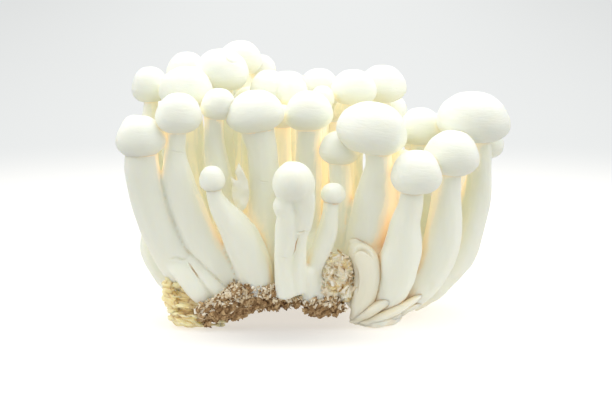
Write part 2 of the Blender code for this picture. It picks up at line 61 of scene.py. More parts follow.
# %% The table of mushrooms
MUSHROOMS = [
    ("left_outer", (-53, -24, 59), 15.5, 12, -0.08,
     [(-53, -24, 54.5, 9), (-53, -24, 49, 10), (-51.5, -23.5, 42, 10.5), (-49, -23, 34, 11.5),
      (-46, -23, 26.5, 11.5), (-42.5, -22.5, 19.5, 11.5), (-38.5, -22, 12.5, 10), (-34, -22, 7, 8.5)]),
    ("left_behind", (-56, -8, 58), 10.5, 10.5, -0.05,
     [(-55.5, -8, 52, 5.5), (-55, -8, 42.5, 7), (-52, -8, 31.5, 9), (-47, -8, 20, 10),
      (-41.5, -8, 9.5, 9.5), (-38.5, -8, 4.5, 8)]),
    ("left_second", (-41.5, -24, 66), 14.5, 12, 0,
     [(-42, -24, 60, 6), (-42.5, -24, 54, 6.5), (-42, -24, 47.5, 9), (-40.5, -24, 41.5, 10),
      (-38, -24, 35, 10.5), (-35, -24, 28, 10.5), (-31, -24, 21.5, 10), (-27, -24, 16, 8.5),
      (-23.5, -24, 11, 6.5)]),
    ("left_slim", (-29.5, -18, 68), 11, 9.5, 0.05,
     [(-31, -18, 63.5, 6), (-31, -17.5, 55, 7), (-30, -17, 47, 8), (-28, -16, 37.5, 8),
      (-24, -15.5, 26.5, 8), (-20, -14.5, 15, 7.5), (-18.5, -14, 10, 7)]),
    ("bud_left", (-31, -31, 47), 8, 7.5, -0.1,
     [(-31, -31, 44.5, 4.5), (-30, -30.5, 40.5, 5.5), (-28, -30, 36.5, 7.5), (-25, -29.5, 32.5, 9.5),
      (-22, -29, 27.5, 11), (-19.5, -28.5, 22, 11), (-18, -27.5, 16.5, 10.5), (-17, -27, 10.5, 9)]),
    ("centre_left", (-18.5, -19, 66), 18, 12.5, -0.12,
     [(-17.5, -19, 60.5, 10), (-16, -19, 54, 9.5), (-15.5, -18.5, 46, 9.5), (-15.5, -18.5, 38, 10),
      (-15.5, -18.5, 28.5, 10.5), (-15, -18, 19, 10.5), (-14, -18, 10, 10)]),
    ("centre_front", (-6.5, -36, 47), 12.5, 11.5, 0,
     [(-4, -36, 42.5, 7), (-3.5, -35, 37.5, 6.5), (-3.5, -34.5, 33, 5.5), (-4, -34, 30, 4),
      (-4.5, -33, 25.5, 4), (-5, -32, 19.5, 5), (-6, -31, 12, 6.5)]),
    ("centre_front_low", (-9.5, -36.5, 40), 6.5, 5.5, -0.1,
     [(-8.5, -36.5, 37.5, 5.5), (-8.5, -35.5, 33.5, 6.5), (-9, -34.5, 27, 5.5), (-9.5, -33, 21.5, 5),
      (-9, -32, 16.5, 6), (-8, -31, 10.5, 7.5)]),
    ("centre_back", (-2, -14, 65.5), 15, 12, 0,
     [(-2, -14, 59.5, 7.5), (-2, -13.5, 50, 7.5), (-2, -13, 37, 8), (-2.5, -12.5, 21, 8),
      (-3, -12, 10, 8)]),
    ("bud_right", (5.5, -31, 42.5), 7.5, 6, 0,
     [(5, -31, 40, 4.5), (4.5, -30.5, 35.5, 5), (3.5, -29.5, 29.5, 6), (1.5, -29, 24, 6),
      (-0.5, -28, 18, 6), (-2, -27, 10.5, 6)]),
    ("centre_right", (7.5, -18, 54.5), 12.5, 10, 0.05,
     [(7.5, -18, 50, 6.5), (8, -17.5, 41, 7), (8, -17, 31.5, 7), (7.5, -16.5, 20.5, 7),
      (6.5, -16, 10, 7.5)]),
    ("big_cap", (17.5, -24, 61.5), 22, 15.5, 0.15,
     [(19, -24, 55, 8), (19.5, -23.5, 50, 8.5), (18.5, -22.5, 44.5, 10), (18, -22, 38, 12.5),
      (16.5, -21, 31, 12.5), (15, -20, 24, 11.5), (14, -19, 17, 10.5), (13.5, -18, 7.5, 10)]),
    ("right_front", (30.5, -31, 49), 16, 13, 0,
     [(29.5, -31, 43.5, 6.5), (29, -30.5, 38.5, 7.5), (27.5, -29.5, 32.5, 9.5), (27, -28.5, 26, 11.5),
      (25.5, -28, 20.5, 12), (24.5, -27, 14.5, 11), (22, -26.5, 9, 8.5), (20, -26, 5, 6)]),
    ("right_tucked", (27, -21, 49), 10, 10.5, 0,
     [(27.5, -21, 43, 5.5), (27, -20, 33.5, 7), (26, -19, 22.5, 7.5), (24, -18, 9, 7.5)]),
    ("right_second", (42, -22, 53.5), 17.5, 13.5, 0.1,
     [(41, -22, 46, 7.5), (40.5, -21.5, 38.5, 9), (40, -21.5, 31, 11), (38.5, -21, 23, 11.5),
      (35.5, -20.5, 16, 11), (31, -20, 9.5, 9.5), (25.5, -20, 4.5, 7)]),
    ("right_outer", (49.5, -10, 63), 23, 15.5, 0.02,
     [(51.5, -10, 55, 6.5), (51.5, -10, 45.5, 7.5), (51, -10, 36.5, 8.5), (49, -10, 28.5, 9),
      (46.5, -10, 20.5, 9.5), (42, -10, 14, 9), (36.5, -10, 8.5, 8.5), (29.5, -10, 3.5, 6.5)]),
    ("right_behind", (55, 4, 53.5), 11.5, 10.5, 0.15,
     [(53, 4, 48, 6), (51, 3.5, 37.5, 7), (47.5, 3, 26, 8.5), (42, 2.5, 15.5, 8.5), (34, 2, 6.5, 7.5),
      (27, 2, 2.5, 7)]),
    ("right_inner", (33.5, -2, 59), 14.5, 11.5, 0,
     [(33.5, -2, 54, 6), (34.5, -2, 41.5, 7), (35, -2, 29, 7.5), (32, -2, 16, 8.5), (27, -2, 4, 8.5)]),
    ("upper_left", (-52, 0, 72), 12, 11, -0.05,
     [(-51.5, 0, 67, 4.5), (-52, -0.5, 54.5, 6.5), (-51, -1, 38.5, 7.5), (-47.5, -1.5, 22, 8.5),
      (-40.5, -2, 5.5, 8.5)]),
    ("upper_left_wide", (-40, -8, 72), 17, 13, 0,
     [(-40, -8, 66, 7.5), (-39.5, -8, 52, 8), (-38.5, -8, 36.5, 9), (-35.5, -8, 20, 9),
      (-32, -8, 6.5, 9)]),
    ("upper_left_back", (-41, 10, 75.5), 13.5, 11.5, -0.05,
     [(-41, 10, 69.5, 6), (-41, 9, 49.5, 7), (-39.5, 7.5, 27, 8), (-35, 6, 4, 7.5)]),
    ("split_cap", (-29.5, 2, 76.5), 18, 13, 0,
     [(-29.5, 2, 70.5, 7), (-29.5, 1.5, 51, 7.5), (-28.5, 0.5, 28.5, 8.5), (-27, 0, 10, 8.5)]),
    ("top_back", (-24, 20, 78.5), 14.5, 11, 0,
     [(-24, 20, 72.5, 6.5), (-24, 17, 48.5, 7.5), (-24.5, 14.5, 25.5, 8), (-24.5, 12, 10, 8)]),
    ("top_back_small", (-17.5, 24, 75), 10, 8, 0.1,
     [(-18, 24, 71.5, 5.5), (-18, 21, 48, 6.5), (-19, 18.5, 25, 7), (-20.5, 16, 10, 7)]),
    ("mid_left", (-14.5, 0, 71.5), 12, 10, 0,
     [(-15, 0, 67, 6), (-15, 0, 51, 7), (-15, 0, 28.5, 7.5), (-15.5, 0, 10, 7.5)]),
    ("mid_centre", (-7.5, -2, 70.5), 11, 9, 0.05,
     [(-7.5, -2, 66.5, 5.5), (-8, -1.5, 51, 6.5), (-8, -0.5, 28.5, 7), (-8.5, 0, 10, 7)]),
    ("back_centre", (1.5, 14, 70.5), 13.5, 10, 0,
     [(1.5, 14, 65.5, 6), (1, 13, 49, 6.5), (0.5, 11.5, 26.5, 7.5), (-0.5, 10, 10, 7.5)]),
    ("mid_bud", (2.5, 0, 68), 8, 7, 0,
     [(2, 0, 64.5, 4.5), (1.5, -1, 51, 5), (1, -2.5, 29, 5.5), (0, -4, 10, 5.5)]),
    ("mid_right", (12.5, 6, 70.5), 15, 11, 0,
     [(12, 6, 65, 6), (12, 5.5, 50, 7), (11.5, 5, 27.5, 7.5), (9.5, 4, 10, 7.5)]),
    ("back_right", (22, 20, 70), 16, 12, 0,
     [(21.5, 20, 64.5, 6), (21, 18.5, 48.5, 7), (19.5, 16, 25.5, 8), (17, 14, 3, 8)]),
]
print(len(MUSHROOMS), "mushrooms that can be seen")

# %% [markdown]
# ## The mushrooms at the back
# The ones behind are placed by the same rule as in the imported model, from the same seed: a cap's place and
# width are given, its root lies nearer to the middle of the foot, and the height of the cap and the width
# of the neck are drawn.

# %% The mushrooms at the back, by their rule
BEHIND = [
    (-48.5, 15, 60, 13), (-40.5, 27, 66, 14), (-33, 33, 65, 16), (-21, 36, 62, 15), (-9, 32, 67, 16),
    (4, 35, 61, 15), (13, 29, 66, 14), (24, 33, 60, 15), (34, 22, 54, 14), (49, 15, 57, 14),
    (-6, 13, 67, 14), (30, 9, 44, 12), (40, 10, 57, 12), (9, -5, 53, 12), (21, -6, 57, 13),
    (11.5, 17, 62, 10), (-10, -9, 63, 9), (-21, 11, 66, 11), (43, 2, 51, 11),
]
HEIGHT_SHARE, NECK_SHARE, NECK_LEAST = (0.72, 0.84), (0.26, 0.32), 2.5
CAPS_LEFT, ROOTS_LEFT = -53, -37
CLOSER_X, CLOSER_Y, FORWARD = 0.63, 0.45, 2  # the roots lie closer together than the caps and further forward
BRIDGE, ON_BRIDGE, ON_BUTT = (-27.5, 13), 10, 5  # a root on the bridge between the butts ends higher up
BEND, SWELL, LEAN, UPRIGHT = 1.6, 1.4, 0.002, -5


def behind(draw):
    """Rows like those of the table, each with a root nearer to the middle of the foot than its cap."""
    for number, (x, y, z, width) in enumerate(BEHIND):
        height, neck = width * draw.uniform(*HEIGHT_SHARE), NECK_LEAST + width * draw.uniform(*NECK_SHARE)
        root_x, root_y = ROOTS_LEFT + (x - CAPS_LEFT) * CLOSER_X, y * CLOSER_Y - FORWARD
        root_z = ON_BRIDGE if BRIDGE[0] < root_x < BRIDGE[1] else ON_BUTT
        points = []
        for share in (0.1, 0.5, 1.0):
            bend = share**BEND
            swell = math.sin(math.pi * min(1.0, share * 1.25)) * SWELL
            points.append((x + (root_x - x) * bend, y + (root_y - y) * bend, z - 5 + (root_z - z + 5) * share,
                           neck + swell + share))
        yield f"behind_{number}", (x, y, z), width, height, (x - UPRIGHT) * LEAN, points


hidden_rows = list(behind(random.Random(SEED)))
print(len(hidden_rows), "mushrooms at the back")

# %% [markdown]
# ## Smooth noise from plane waves
# Living things are never quite round. Blender has noise textures for this, but here whole arrays of points
# are moved at once, so a sum of plane waves in random directions is quicker: it is smooth, and one number
# sets the size of its lumps.


# %% Smooth noise, folds, and smooth lines
def waves(points, size, seed, count=9):
    """Smooth noise of about -1 to 1 at each point, with lumps of the given size."""
    draw = np.random.default_rng(seed)
    heading = draw.normal(size=(count, 3))
    heading /= np.linalg.norm(heading, axis=1)[:, None] * size * draw.uniform(0.7, 1.4, count)[:, None]
    return np.sin(2 * math.pi * points @ heading.T + draw.uniform(0, 6.3, count)).sum(1) / math.sqrt(count)


def folds(points, size, seed):
    """Rounded folds with sharp creases between them, from 0 in a crease to 1 on a fold."""
    return np.abs(np.clip(waves(points, size, seed), -1, 1))


def smooth_line(points, steps):
    """A smooth line through the rows of an array, with so many steps between each two of them."""
    p = np.vstack([2 * points[0] - points[1], points, 2 * points[-1] - points[-2]])
    t = np.linspace(0, 1, steps, endpoint=False)[:, None]
    parts = []
    for a, b, c, d in zip(p, p[1:], p[2:], p[3:]):
        square, cube = 2 * a - 5 * b + 4 * c - d, 3 * b - a - 3 * c + d
        parts.append(0.5 * (2 * b + (c - a) * t + square * t**2 + cube * t**3))
    return np.vstack([*parts, points[-1:]])


def even_line(points, step):
    """A smooth line through (x, y, z, width) rows, with a row for each step of its length."""
    line = smooth_line(np.array(points, float), steps=24)
    gone = np.concatenate([[0], np.cumsum(np.linalg.norm(np.diff(line[:, :3], axis=0), axis=1))])
    wanted = np.arange(0, gone[-1], step)
    return np.stack([np.interp(wanted, gone, line[:, k]) for k in range(4)], 1)


print("noise at the origin", waves(np.zeros((1, 3)), 5, 1).round(2))

# %% [markdown]
# ## Skins made of rings
# A cap, a stem and a finger of flesh are each a chain of rings: a cap's runs from its top round the
# rolled-in rim and up under it to the neck, a stem's from inside the cap down to the root. Each point also
# stores its grain: where it lies round and along the piece, so that a texture can be stretched along the
# fibres.


# %% Rings become a closed skin
def ringed(centres, frames, radii, segments, shape=None):
    """Points, faces and grain of a closed skin of rings. shape(grain) moves each point out by so much."""
    count = len(centres)
    turn = np.linspace(0, 2 * math.pi, segments, endpoint=False)
    round_x, round_y = np.cos(turn), np.sin(turn)
    outward = frames[:, 0][:, None] * round_x[None, :, None] + frames[:, 1][:, None] * round_y[None, :, None]
    steps = np.linalg.norm(np.diff(centres, axis=0), axis=1) + np.abs(np.diff(radii))
    travelled = np.concatenate([[0], np.cumsum(steps)])
    grain = np.stack([radii[:, None] * round_x, radii[:, None] * round_y,
                      np.broadcast_to(travelled[:, None], (count, segments))], -1)
    out = 0 if shape is None else shape(grain.reshape(-1, 3)).reshape(count, segments)
    points = centres[:, None] + outward * (radii[:, None] + out)[..., None]
    faces = []
    for i in range(count - 1):
        for j in range(segments):
            k = (j + 1) % segments
            faces.append((i * segments + j, (i + 1) * segments + j, (i + 1) * segments + k, i * segments + k))
    top, bottom, last = count * segments, count * segments + 1, (count - 1) * segments
    faces += [(top, j, (j + 1) % segments) for j in range(segments)]
    faces += [(bottom, last + (j + 1) % segments, last + j) for j in range(segments)]
    grain = np.vstack([grain.reshape(-1, 3), [[0, 0, 0]], [[0, 0, travelled[-1]]]])
    return np.vstack([points.reshape(-1, 3), centres[:1], centres[-1:]]), faces, grain


def frames_along(centres, across, down):
    """For each centre, two directions square to the line, turned along it without a twist."""
    x, previous = Vector(across), Vector(down)
    found = []
    for tangent in np.gradient(centres, axis=0):
        tangent = Vector(tangent).normalized()
        x.rotate(previous.rotation_difference(tangent))
        previous = tangent
        found.append((x.copy(), x.cross(tangent)))
    return np.array(found)


def piece(name, points, faces, grain, stain_and_shade=None):
    """A smooth-shaded mesh object from points in millimetres, with its grain and its marks of stains and
    painted shade as attributes.
    """
    mesh = bpy.data.meshes.new(name)
    mesh.from_pydata((np.asarray(points) * MM).tolist(), [], faces)
    grained = mesh.attributes.new("grain", "FLOAT_VECTOR", "POINT")
    grained.data.foreach_set("vector", np.asarray(grain).ravel())
    for mask in ("gap", "crease", "glow"):
        mesh.attributes.new(mask, "FLOAT", "POINT")
    stain_and_shade_layer = mesh.attributes.new("stain_and_shade", "FLOAT", "POINT")
    if stain_and_shade is not None:
        stain_and_shade_layer.data.foreach_set("value", stain_and_shade)
    mesh.shade_smooth()
    made = bpy.data.objects.new(name, mesh)
    bpy.context.scene.collection.objects.link(made)
    return made


def store(made, mask, values):
    """Writes a mask's value for each point of a piece."""
    made.data.attributes[mask].data.foreach_set("value", values)


# %% [markdown]
# ## The cap
# A button cap is turned like a bowl: its half outline goes round its own axis, and leans with the stem. The
# rim is rolled in, so that the gills are all but shut away, and only a narrow groove with their edges runs
# round the neck. Caps in the front rows get more sides than those behind.

# %% The cap and the stem
CAP_OUTLINE = [(0.0, 0.5), (0.25, 0.485), (0.5, 0.425), (0.78, 0.27), (0.94, 0.07), (1.0, -0.1),
               (0.98, -0.22), (0.88, -0.34), (0.72, -0.43), (0.56, -0.48)]
CAP_STREAK = (0.3, 0.3, 12)  # the skin of a cap has its faint streaks round it, not down it
BACK_FROM = -8.5
FRONT_CAP, BACK_CAP = (72, 4), (44, 3)  # sides, and steps between two points of the outline
CAP_LUMP_SIZE, CAP_LUMPS = 11, 0.014
GILL_RINGS, GILL_EDGES = 6, 0.14
STEM_STEP, STEM_SIDES = 1.2, 36
FLUTES, FINE_FLUTES = 0.26, 0.08


def leaning(lean):
    """The axis of a mushroom that leans to the right by so many radians, and the direction across it."""
    return np.array([math.sin(lean), 0, math.cos(lean)]), np.array([math.cos(lean), 0, -math.sin(lean)])


def cap_rings(width, height, neck, steps):
    """Radii and heights of the cap's rings, from the top to the neck, in millimetres."""
    outline = [(r * width / 2, z * height) for r, z in CAP_OUTLINE]
    inner = neck / 2
    groove = max(outline[-1][0], inner * 1.06)
    outline[-1] = (groove, outline[-1][1])
    outline += [(inner + 0.5 * (groove - inner), -0.49 * height), (inner, -0.46 * height)]
    line = smooth_line(np.array(outline, float), steps)
    line[:, 0] = np.maximum(line[:, 0], 0.02)
    return line[1:]


def cap_skin(middle, width, height, lean, neck, seed):
    """Points, faces and grain of a cap, with soft lumps and the edges of its gills in the groove."""
    segments, steps = FRONT_CAP if middle[1] < BACK_FROM else BACK_CAP
    axis, across = leaning(lean)
    rings = cap_rings(width, height, neck, steps)
    count = len(rings)

    def shape(grain):
        ring = np.arange(len(grain)) // segments
        lumps = waves(grain * (1, 1, 0.6), CAP_LUMP_SIZE, seed) * CAP_LUMPS * width
        gills = np.where(ring > count - GILL_RINGS, (np.arange(len(grain)) % 2 - 0.5) * GILL_EDGES, 0)
        return lumps * np.clip(ring / 6, 0, 1) * np.clip((count - ring) / 5, 0.1, 1) + gills

    frames = np.broadcast_to(np.array([across, (0, 1, 0)]), (count, 2, 3))
    centres = np.array(middle) + axis * rings[:, 1:]
    points, faces, grain = ringed(centres, frames, rings[:, 0], segments, shape)
    return points, faces, grain * CAP_STREAK


def stem_skin(middle, height, lean, route, seed):
    """Points and faces of a stem with long flutes, from inside its cap to its root."""
    axis, across = leaning(lean)
    stem = even_line([(*middle, route[0][3]), *route], STEM_STEP)
    stem = stem[np.argmax((stem[:, :3] - middle) @ -axis > 0.3 * height):]

    def shape(grain):
        fine = waves(grain * (1, 1, 0.05), 2.6, seed + 2) * FINE_FLUTES
        return waves(grain * (1, 1, 0.22), 8, seed + 1) * FLUTES + fine

    frames = frames_along(stem[:, :3], across, -axis)
    return ringed(stem[:, :3], frames, stem[:, 3] / 2, STEM_SIDES, shape)[:2]


caps, front_stems, back_stems = {}, [], []
for number, (name, middle, width, height, lean, route) in enumerate(MUSHROOMS + hidden_rows):
    caps[name] = cap_skin(middle, width, height, lean, route[0][3], 10 * number)
    stems = front_stems if middle[1] < BACK_FROM else back_stems
    stems.append(stem_skin(middle, height, lean, route, 10 * number))
print(len(caps), "caps,", len(front_stems), "stems in front")

# %% [markdown]
# ## Fingers of flesh
# Between the big stems the clump has flattened bases, folds, and one rounded stub. Each is a short finger
# of flesh: the same rings along a line, closed at both ends with half a ball, and pressed flat where the
# real one is.

# %% Rings for a finger
FINGER_STEP, END_RINGS, END_TIP = 0.6, 6, 0.12
FINE_LUMPS = 0.05


def finger(route, seed, flat=1.0, face=(0, 0, 1), lumpy=0.25, segments=40):
    """Points, faces and grain of a finger. flat is its thickness along face, as a share of its width."""
    line = even_line(route, FINGER_STEP)
    ways = [(line[0] - line[1])[:3], (line[-1] - line[-2])[:3]]
    ways = [way / np.linalg.norm(way) for way in ways]
    angles = np.linspace(END_TIP, math.pi / 2, END_RINGS + 1)[:-1]
    heads, tails = [[(*(end[:3] + way * end[3] / 2 * math.cos(a)), end[3] * math.sin(a)) for a in angles]
                    for end, way in zip((line[0], line[-1]), ways)]
    line = np.vstack([heads, line, tails[::-1]])

    def shape(grain):
        inside = np.clip(np.hypot(grain[:, 0], grain[:, 1]), 0, 1)
        fine = waves(grain * (1, 1, 0.06), 2.2, seed + 1) * FINE_LUMPS
        return (waves(grain * (1, 1, 0.3), 6, seed) * lumpy + fine) * inside

    frames = frames_along(line[:, :3], (1, 0, 0), -ways[0])
    points, faces, grain = ringed(line[:, :3], frames, line[:, 3] / 2, segments, shape)
    rings = np.repeat(line[:, :3], segments, axis=0)
    rings = np.vstack([rings, line[:1, :3], line[-1:, :3]])
    face = np.array(face) / np.linalg.norm(face)
    points = points - ((points - rings) @ face)[:, None] * face * (1 - flat)
    return points, faces, grain


print("a finger 10 mm long has", len(finger([(0, 0, 0, 4), (0, 0, 10, 4)], 1)[1]), "faces")

# %% [markdown]
# ## Melting pieces together
# Where flesh has grown together there is no seam, only a soft valley. A voxel remesh makes one skin of
# pieces that overlap, and a few rounds of smoothing fill the valleys between them.


# %% One skin from many pieces
def melted(pieces, voxel, rounds):
    """Points and normals in mm, and faces, of one skin round all the pieces. Each is (points, faces)."""
    mesh = bpy.data.meshes.new("melt")
    points, faces = [], []
    for piece_points, piece_faces in pieces:
        faces += [tuple(i + len(points) for i in face) for face in piece_faces]
        points += (np.asarray(piece_points) * MM).tolist()
    mesh.from_pydata(points, [], faces)
    made = bpy.data.objects.new("melt", mesh)
    bpy.context.scene.collection.objects.link(made)
    remesh = made.modifiers.new("melt", "REMESH")
    remesh.mode = "VOXEL"
    remesh.voxel_size = voxel * MM
    soften = made.modifiers.new("soften", "SMOOTH")
    soften.factor, soften.iterations = 0.5, rounds
    melt = bpy.data.meshes.new_from_object(made.evaluated_get(bpy.context.evaluated_depsgraph_get()))
    bpy.data.objects.remove(made)
    points, normals = np.empty(len(melt.vertices) * 3), np.empty(len(melt.vertices) * 3)
    melt.vertices.foreach_get("co", points)
    melt.vertices.foreach_get("normal", normals)
    return points.reshape(-1, 3) / MM, normals.reshape(-1, 3), [tuple(p.vertices) for p in melt.polygons]


def ball(middle, half, turn=(0, 0, 0)):
    """A smooth ball of flesh with three half sizes, turned by degrees."""
    grid = bmesh.new()
    bmesh.ops.create_uvsphere(grid, u_segments=36, v_segments=24, radius=1)
    size = Matrix.Diagonal((*half, 1))
    turned = Euler([math.radians(a) for a in turn]).to_matrix().to_4x4()
    bmesh.ops.transform(grid, matrix=Matrix.Translation(middle) @ turned @ size, verts=grid.verts)
    found = [tuple(v.co) for v in grid.verts], [tuple(v.index for v in f.verts) for f in grid.faces]
    grid.free()
    return found


# %% [markdown]
# ## The foot and the stems
# The foot is where the clump was cut from its block: two butts that stand on the table and a bridge between
# them. All stems melt into it. The front half and the back half are one skin each. One small pair at the
# front has grown together from the caps down, so its caps melt in too. Some flesh only lies against the
# foot and keeps its edges: flat slabs that sweep down to the left, and a rounded stub without a cap that
# curls over.

# %% The foot and the stems
FOOT_LUMPS = [
    ((-36, -2, 7), (8.3, 21, 9), (0, 6, 0)),
    ((-36, -3, 15), (8.5, 21, 8), (0, 20, 0)),
    ((-6, -2, 19.5), (31, 21, 11.5), (0, 0, 0)),
    ((19.5, -1, 7.5), (10.5, 23, 9.5), (0, -12, 0)),
    ((22, -1, 13), (9.5, 22, 8), (0, -30, 0)),
    ((19.5, -19.5, 2.6), (8.0, 10, 3.6), (0, -6, 0)),
    ((-41, -19, 15), (4.5, 5.5, 6), (0, -10, 0)),
]
FRONT_SHIFT, FRONT_SHARE = 3, (0.93, 0.88, 0.93)  # the front skin's lumps lie further forward and are smaller
SLABS = [
    [(27.5, -25, 12.2, 3.5), (23.5, -27.6, 9.4, 6.5), (18.8, -29, 6.8, 7.5), (15, -29.2, 4.2, 6.5),
     (12.4, -28.6, 2.2, 3.5)],
    [(31, -24.5, 8.6, 3.5), (27, -27.4, 6.8, 6), (23.4, -29.4, 5.0, 7), (19.5, -30, 3.2, 6),
     (15.5, -29.4, 1.8, 3.5)],
    [(26.4, -24.5, 3.6, 5), (22.4, -27.6, 2.8, 7), (18.4, -29, 2.0, 6), (14.5, -28.4, 1.4, 3.5)],
    [(32.6, -22, 6.2, 2.4), (29.4, -24.5, 5.3, 4), (26, -26.5, 4.2, 5)],
]
TONGUES = [
    [(-43.4, -24.5, 21.5, 3), (-42.2, -27.2, 19, 5.2), (-39, -28.6, 14.8, 6), (-36, -29, 10.8, 5.8),
     (-33.4, -28.6, 7.6, 4)],
    [(-39.3, -24, 23.5, 2.5), (-36.8, -26.6, 19.8, 4.4), (-33, -27.8, 15.4, 5.4), (-29.6, -28, 11.6, 5.4),
     (-27, -27.5, 9, 4)],
]
CURL = [(13.4, -26, 24.8, 5.5), (14.0, -27.2, 23.4, 8.2), (15.2, -28.4, 20.8, 9.2), (15.9, -29, 17.5, 8.8),
        (15.7, -28.8, 13.5, 8.2), (14.8, -28.4, 9.5, 7.6), (13.4, -28, 5.5, 6.2), (12.4, -27.2, 3, 4)]
FOOT_FINGERS = [
    [(-45, -22, 23, 9), (-42, -22.3, 18.5, 10), (-38.5, -23, 14.5, 9), (-34, -24, 11.5, 7.5),
     (-31, -25, 9.5, 5)],
    [(-37, -24, 20.5, 5), (-33.5, -24, 17.5, 8), (-30, -24, 14, 10), (-26, -24.5, 10.5, 9)],
    [(-29, -21, 26.5, 2.5), (-27.5, -22.5, 21.5, 5), (-25, -24, 16.5, 6), (-23, -25, 11, 6)],
    [(-52.5, -16, 26.5, 3), (-51.5, -16, 22, 5.5), (-48.5, -16, 17, 7.5), (-43.5, -16, 10.5, 8.5),
     (-39.5, -16, 6, 8.5)],
    [(-1.5, -31, 17.5, 4), (-1.5, -30, 14, 5), (-2, -29, 10, 5.5)],
    [(1.5, -28, 14.5, 5), (2, -28, 11, 6.5)],
    [(17.5, -21, 24, 8), (16.5, -23, 16, 10), (16, -24, 8, 10), (15.5, -24, 4, 8)],
    [(27, -23, 11, 6), (22, -25.5, 7.5, 8), (17.5, -26, 4.5, 8), (14.5, -26, 3.5, 6)],
]
FRONT_PAIR = ("centre_front", "centre_front_low")
MIDDLE_PAIR = ("mid_left", "mid_centre")
MELTS = {"front_flesh": (0.7, 4, 0.3), "back_flesh": (0.8, 3, 1.3)}  # voxel, rounds and depth of the pleats
PLEAT_HEIGHTS = (8, 18)


def flesh(name, parts):
    """One skin of parts, with soft lumps, and pleats low down where flattened stem ends make up the foot."""
    voxel, rounds, pleat = MELTS[name]
    points, normals, faces = melted(parts, voxel, rounds)
    lumps = waves(points * (1, 1, 0.3), 5, 63) * 0.12 + waves(points * (1, 1, 0.15), 1.9, 64) * 0.05 + 0.12
    low = np.interp(points[:, 2], PLEAT_HEIGHTS, (1, 0))
    lumps += (folds(points * (1, 1, 0.25), 6, 66) - 0.55) * pleat * low
    points = points + normals * lumps[:, None]
    points[:, 2] = np.maximum(points[:, 2], 0)
    return piece(name, points, faces, points)


front_parts = [ball((x, y - FRONT_SHIFT, z), [share * half for share, half in zip(FRONT_SHARE, halves)], turn)
               for (x, y, z), halves, turn in FOOT_LUMPS]
front_parts += [finger(route, 40 + n)[:2] for n, route in enumerate(FOOT_FINGERS)]
front_parts += [finger(route, 85 + n, 0.6, (0.4, -1, 0.3), 0.45)[:2] for n, route in enumerate(TONGUES)]
front_parts += [caps.pop(name)[:2] for name in FRONT_PAIR]
front = flesh("front_flesh", front_parts + front_stems)
back = flesh("back_flesh", [ball(*row) for row in FOOT_LUMPS] + back_stems)
points, _, faces = melted([caps.pop(name)[:2] for name in MIDDLE_PAIR], 0.3, 8)
cap_pieces = [piece("middle_pair_cap", points, faces, points * CAP_STREAK)]
cap_pieces += [piece(name + "_cap", *skin) for name, skin in caps.items()]
loose = {f"slab_{n}": finger(route, 95 + n, 0.72, (-0.6, -0.1, 1), 0.45) for n, route in enumerate(SLABS)}
loose["rounded_stub"] = finger(CURL, 120, lumpy=0.3, segments=64)
loose_pieces = []
for name, (points, faces, grain) in loose.items():
    points[:, 2] = np.maximum(points[:, 2], 0)
    loose_pieces.append(piece(name, points, faces, grain))
print("front", len(front.data.polygons), "faces, back", len(back.data.polygons), "faces")

# %% [markdown]
# ## The waxy butt on the left
# At the left end the flattened stem ends lie on each other like folded pastry, yellow and waxy, with
# painted brown shade in the creases. Each leaf is a flat finger. They are melted together only a little,
# then pushed into fine strands along their length.

# %% The waxy leaves
LEAVES = [
    [(-35, -27.5, 10.6, 4.5), (-39.5, -27.5, 12.0, 5.5), (-42.8, -26, 13.0, 5.5), (-44.2, -22, 13.0, 4)],
    [(-33, -28.8, 7.9, 5), (-38.5, -28.8, 9.2, 6.5), (-43, -27.5, 10.0, 6.5), (-45, -23, 9.8, 4)],
    [(-31, -29.8, 5.0, 5.5), (-37, -30.2, 6.4, 7), (-42.8, -29, 7.2, 7), (-45.2, -24.5, 6.9, 4.5)],
    [(-29.5, -30, 2.8, 5.5), (-36, -30.8, 3.9, 7), (-42.2, -30, 4.6, 7), (-45, -25.5, 4.3, 4.5)],
    [(-29.5, -29.5, 1.2, 5), (-35.5, -30.2, 1.6, 7), (-41.6, -29.8, 2.0, 7), (-44.2, -25, 2.1, 5)],
    [(-44.4, -23, 16.4, 2.5), (-45.2, -25.5, 12.5, 4), (-44.4, -27.5, 8.5, 4), (-43.5, -28.5, 5.5, 3)],
]
BUTT_GRAIN = (0.3, 0.3, 1)
SLANT = (0, 0, 0.25)  # the strands fall a little to the left
leaves = [finger(route, 80 + n, flat=0.55, face=(0.25, 0, 1))[:2] for n, route in enumerate(LEAVES)]
butt_cores = [ball((-37.5, -21, 7), (7, 8.5, 7)), ball((-38.5, -25.5, 2.8), (6.5, 5.6, 3.4))]
points, normals, faces = melted([*leaves, *butt_cores], 0.28, 2)
slanted = np.outer(points[:, 0], SLANT)
strands = folds(points * BUTT_GRAIN + slanted, 2.4, 60)
fine_strands = folds(points * (0.25, 0.25, 1) + slanted, 1.1, 61)
pleats = folds(points * (0.6, 0.6, 1), 6, 62)
relief = (pleats - 0.45) * 0.8 + (strands - 0.5) * 0.7 + (fine_strands - 0.5) * 0.35
points = points + normals * relief[:, None]
points[:, 2] = np.maximum(points[:, 2], 0)
# The brown stored here is painted shade, where the strands dip into creases.
butt = piece("waxy_butt", points, faces, points * BUTT_GRAIN, np.clip((0.3 - strands) * 1.8, 0, 0.7))
store(butt, "gap", 0.42 + 0.3 * waves(points, 5, 65))
# crease is painted shade in the pleats, and gap only varies the tone in patches.
store(butt, "crease", np.clip(0.55 - pleats * 2.2, 0, 1))
print("waxy butt", len(faces), "faces")

# %% [markdown]
# ## The torn stub
# One short stem was torn off, and its end is a swirl of fibres and flakes: a ball, dished in front, pushed
# in and out along a spiral that waves break up.

